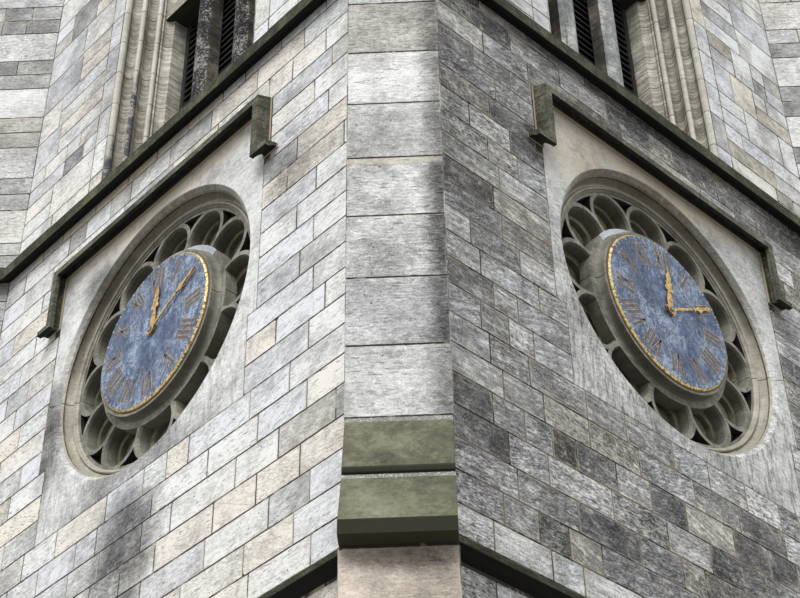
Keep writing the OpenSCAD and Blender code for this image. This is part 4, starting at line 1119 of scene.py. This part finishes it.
def in_spandrel(u, v):
    """True for the walls of the small piercings between the petals' tips."""
    r = math.hypot(u, v)
    a = math.atan2(u, -v) % (math.pi / 6)
    off = min(a, math.pi / 6 - a)
    from_petal = math.hypot(r * math.sin(off), r * math.cos(off) - PETAL_AT)
    return r > PETAL_AT + 0.082 and from_petal > PETAL_R + 0.042


for i, side in enumerate(SIDES):
    c, s = quarter(i)

    def local(v, c=c, s=s):
        """The vector, turned so that this side faces -Y."""
        return c * v.x + s * v.y, -s * v.x + c * v.y, v.z

    bed = "brown_mortar" if i < 2 else "mortar"
    wall = nodes[f"clock_wall_{side}"]
    dress(wall, bed, "ring")
    pick_faces(wall, lambda p, n: math.hypot(local(p)[0], p.z - DIAL_Z) < ROUNDEL_R + 0.02
               and local(n)[1] > -0.999)
    wall = nodes[f"belfry_wall_{side}"]
    dress(wall, "mortar", "jamb_sooty" if i < 2 else "jamb_pale")
    pick_faces(wall, lambda p, n: abs(local(p)[0]) < 1.45 and not (
        local(n)[1] < -0.999 and local(p)[1] < -BELFRY_HALF + 0.001))
    wheel = nodes[f"roundel_{side}"]
    dress(wheel, "carved", "fillet", "shaded_pierced", "petal_floor")
    for f in wheel.data.polygons:
        u, y, z = local(f.center)
        if local(f.normal)[1] < -0.99 and y + HALF < WHEEL_D + 0.002:
            f.material_index = 1
        elif WHEEL_D + 0.01 < y + HALF < WHEEL_D + 0.1 and in_spandrel(u, z - DIAL_Z):
            f.material_index = 2
        elif local(f.normal)[1] < -0.99 and WHEEL_D + 0.12 < y + HALF < WHEEL_D + 0.22:
            f.material_index = 3
    dial = nodes[f"dial_{side}"]
    dress(dial, "dial", "rim_gold")
    pick_faces(dial, lambda p, n: math.hypot(local(p)[0], p.z - DIAL_Z) > DIAL_FACE_R
               and local(n)[1] > -0.95)
    tracery = nodes[f"belfry_tracery_{side}"]
    dress(tracery, "black", "nose_pale" if i < 2 else "nose_dark", "transom")
    for f in tracery.data.polygons:
        depth = BELFRY_HALF + local(f.center)[1]
        if TRANSOM_Z[0] - 0.001 < f.center.z < TRANSOM_Z[1] + 0.001 and depth < 0.6:
            f.material_index = 2
        elif local(f.normal)[1] < -0.3 and 0.49 < depth < 0.556:
            f.material_index = 1
    dress(nodes[f"louvres_{side}"], "louvre")
    for hand in ("hour", "minute"):
        piece = nodes[f"{hand}_hand_{side}"]
        dress(piece, "gold", "shaded_hand_side")
        # the hands' sides take the painted shade
        pick_faces(piece, lambda p, n: abs(local(n)[1]) < 0.5)
        soften(piece, 0.0025, 40)
for corner in CORNERS:
    pier = nodes[f"buttress_{corner}"]
    dress(pier, "mortar", "weathering")
    pick_faces(pier, lambda p, n: abs(n.z) > 0.05 or 7.24 < p.z < 8.56 or 21.3 < p.z < 22.36)
    soften(pier, 0.008, 30)
for name, key, width in (
        ("plinth", "plinth", 0.012), ("ground_floor", "plinth", 0), ("ground_walls", "mortar", 0),
        ("door", "oak", 0), ("doorway_step", "plinth", 0.012), ("lower_string", "string", 0.008),
        ("upper_string", "string", 0.008), ("parapet_string", "string", 0.01),
        ("parapet", "mortar", 0), ("merlons", "coping", 0.012), ("roof", "lead", 0.01),
        ("pinnacles", "coping", 0.01), ("hood_moulds", "hood", 0.005),
        ("belfry_hoods", "string", 0.008), ("belfry_floor", "oak", 0)):
    dress(nodes[name], key)
    if width:
        soften(nodes[name], width)

# Dials


def solid(name, outlines, place, near, far, material):
    """One mesh of flat pieces: each outline (across, up) is carried from depth near to far."""
    co, faces = [], []
    for line in outlines:
        n, base = len(line), len(co)
        for h in (near, far):
            co += [place(u, v, h) for u, v in line]
        faces.append(tuple(range(base, base + n)))
        faces.append(tuple(base + 2 * n - 1 - k for k in range(n)))
        for k in range(n):
            j = (k + 1) % n
            faces.append((base + k, base + n + k, base + n + j, base + j))
    add_piece(name, co, faces, material)


def swept(name, rings, material):
    """A closed solid through rings of points, which all have the same count."""
    n = len(rings[0])
    co = sum(rings, [])
    faces = [tuple(range(n)), tuple(len(co) - 1 - k for k in range(n))]
    for a in range(0, len(co) - n, n):
        for k in range(n):
            j = (k + 1) % n
            faces.append((a + k, a + n + k, a + n + j, a + j))
    add_piece(name, co, faces, material)


def stroke(x0, y0, x1, y1, w):
    """A bar of width w with level ends, from (x0, y0) up to (x1, y1)."""
    return [(x0 - w / 2, y0), (x0 + w / 2, y0), (x1 + w / 2, y1), (x1 - w / 2, y1)]


def figure(text, grow=0.0):
    """Outlines of a Roman figure, centred, its foot at 0 and its strokes wider by grow all round."""
    widths = {"I": 0.062, "V": 0.135, "X": 0.135}
    serif, top = 0.008, 0.242
    thick, thin = 0.036 + 2 * grow, 0.018 + 2 * grow
    x, out = -sum(widths[t] for t in text) / 2, []
    for t in text:
        w = widths[t]
        mid = x + w / 2
        if t == "I":
            out.append(stroke(mid, serif, mid, top, thick))
        elif t == "V":
            out.append(stroke(mid, 0.0, mid - 0.042, top, thick))
            out.append(stroke(mid, 0.0, mid + 0.042, top, thin))
        else:
            out.append(stroke(mid + 0.040, serif, mid - 0.040, top, thick))
            out.append(stroke(mid - 0.040, serif, mid + 0.040, top, thin))
        half = w / 2 - 0.004 + grow
        for y in ((top,) if t == "V" else (0.0, top)):
            out.append(quad(mid - half, mid + half, y - grow, y + serif + grow))
        x += w
    return out


def turned(line, angle, radius):
    """An outline drawn upright at the top of the dial, moved round to its hour."""
    c, s = math.cos(-angle), math.sin(-angle)
    return [(c * u - s * (v + radius), s * u + c * (v + radius)) for u, v in line]


FIGURE_FOOT_R = 0.545
TICK_R = 0.843
FIGURES = ("XII", "I", "II", "III", "IIII", "V", "VI", "VII", "VIII", "IX", "X", "XI")
for i, side in enumerate(SIDES):
    def on_dial(u, v, h, place=on_side(i, HALF)):
        return place(u, v + DIAL_Z, h).tolist()

    for name, grow, proud in (("figure_edges", 0.005, 0.0012), ("dial_figures", 0.0, 0.0026)):
        lines = []
        for k, text in enumerate(FIGURES):
            lines += [turned(line, math.radians(30 * k), FIGURE_FOOT_R) for line in figure(text, grow)]
        solid(f"{name}_{side}", lines, on_dial, -DIAL_D + proud, -DIAL_D - 0.001,
              "tick_gold" if grow else "figure_gold")
    ticks = [turned(stroke(0, 0, 0, 0.030, 0.012 if k % 5 else 0.018), math.radians(6 * k), TICK_R)
             for k in range(60)]
    solid(f"minute_ticks_{side}", ticks, on_dial, -DIAL_D + 0.003, -DIAL_D - 0.001, "tick_gold")

    # sheet lead dressed over the ring at the drum's foot, round its upper part: (radius, depth)
    section = [(1.0320, -0.1960), (1.0320, -0.1812), (0.9850, -0.1812), (0.9700, -0.1770),
               (0.9695, -0.1738), (0.9850, -0.1768), (1.0300, -0.1768), (1.0355, -0.1800),
               (1.0355, -0.1960)]
    wave = random.Random(700 + i)
    rings = []
    for a in range(-53, 54, 2):
        dent = wave.uniform(0.0, 0.0015)
        u, v = math.sin(math.radians(a)), math.cos(math.radians(a))
        rings.append([on_dial((r + dent) * u, (r + dent) * v, h + dent) for r, h in section])
    swept(f"drum_flashing_{side}", rings, "white_lead")

# Floor, light and camera

ground = bpy.data.meshes.new("floor")
ground.from_pydata([(-400, -400, 0), (400, -400, 0), (400, 400, 0), (-400, 400, 0)], [], [(0, 1, 2, 3)])
floor = bpy.data.objects.new("floor", ground)
bpy.context.scene.collection.objects.link(floor)
m = Mat("floor")
path = m.add("ShaderNodeLightPath")
seen = m.max(path["Is Camera Ray"], path["Is Glossy Ray"])
tone = m.mix(seen, (0.20, 0.19, 0.18, 1), (0.80, 0.79, 0.77, 1))
ground.materials.append(m.set(Base_Color=tone, Roughness=0.9))

# A sky that lights the tower, brighter towards the zenith, and a plain grey one behind it
world = bpy.data.worlds.new("studio")
bpy.context.scene.world = world
world.use_nodes = True
w = Nodes(world.node_tree)
up = w.split(w.add("ShaderNodeTexCoord")["Generated"])[2]
strength = w.value("ShaderNodeMapRange", {0: up, 1: -0.15, 2: 1.0, 3: 0.5, 4: 1.45})
sky = w.add("ShaderNodeBackground", {0: (0.98, 0.99, 1.0, 1), 1: strength})[0]
plain = w.add("ShaderNodeBackground", {0: (0.93, 0.93, 0.93, 1), 1: 1.0})[0]
rays = w.add("ShaderNodeLightPath")
seen = w.max(rays["Is Camera Ray"], rays["Is Transmission Ray"])
shader = w.add("ShaderNodeMixShader", {0: seen, 1: sky, 2: plain})[0]
w.add("ShaderNodeOutputWorld", {0: shader})

key = bpy.data.lights.new("key", "SUN")
key.energy = 2.1
key.angle = math.radians(35)
key.color = (1.0, 0.985, 0.965)
sun = bpy.data.objects.new("key", key)
bpy.context.scene.collection.objects.link(sun)
sun.matrix_world = Matrix.Rotation(math.radians(-62), 4, "Z") @ Matrix.Rotation(math.radians(42), 4, "X")

camera = bpy.data.cameras.new("camera")
camera.sensor_width = 36
camera.lens = 76.5
camera.clip_end = 2000
cam = bpy.data.objects.new("camera", camera)
bpy.context.scene.collection.objects.link(cam)
# The pose of the photograph's camera, as solved from the tower's edges
right = (0.73667, -0.67612, -0.01347)
up = (-0.43067, -0.48441, 0.76150)
ahead = (0.52139, 0.55517, 0.64803)
spot = (-10.985, -11.434, 1.601)
cam.matrix_world = Matrix([[right[k], up[k], -ahead[k], spot[k]] for k in range(3)] + [[0, 0, 0, 1]])
bpy.context.scene.camera = cam
bpy.context.scene.view_settings.view_transform = "Standard"

bpy.context.view_layer.update()
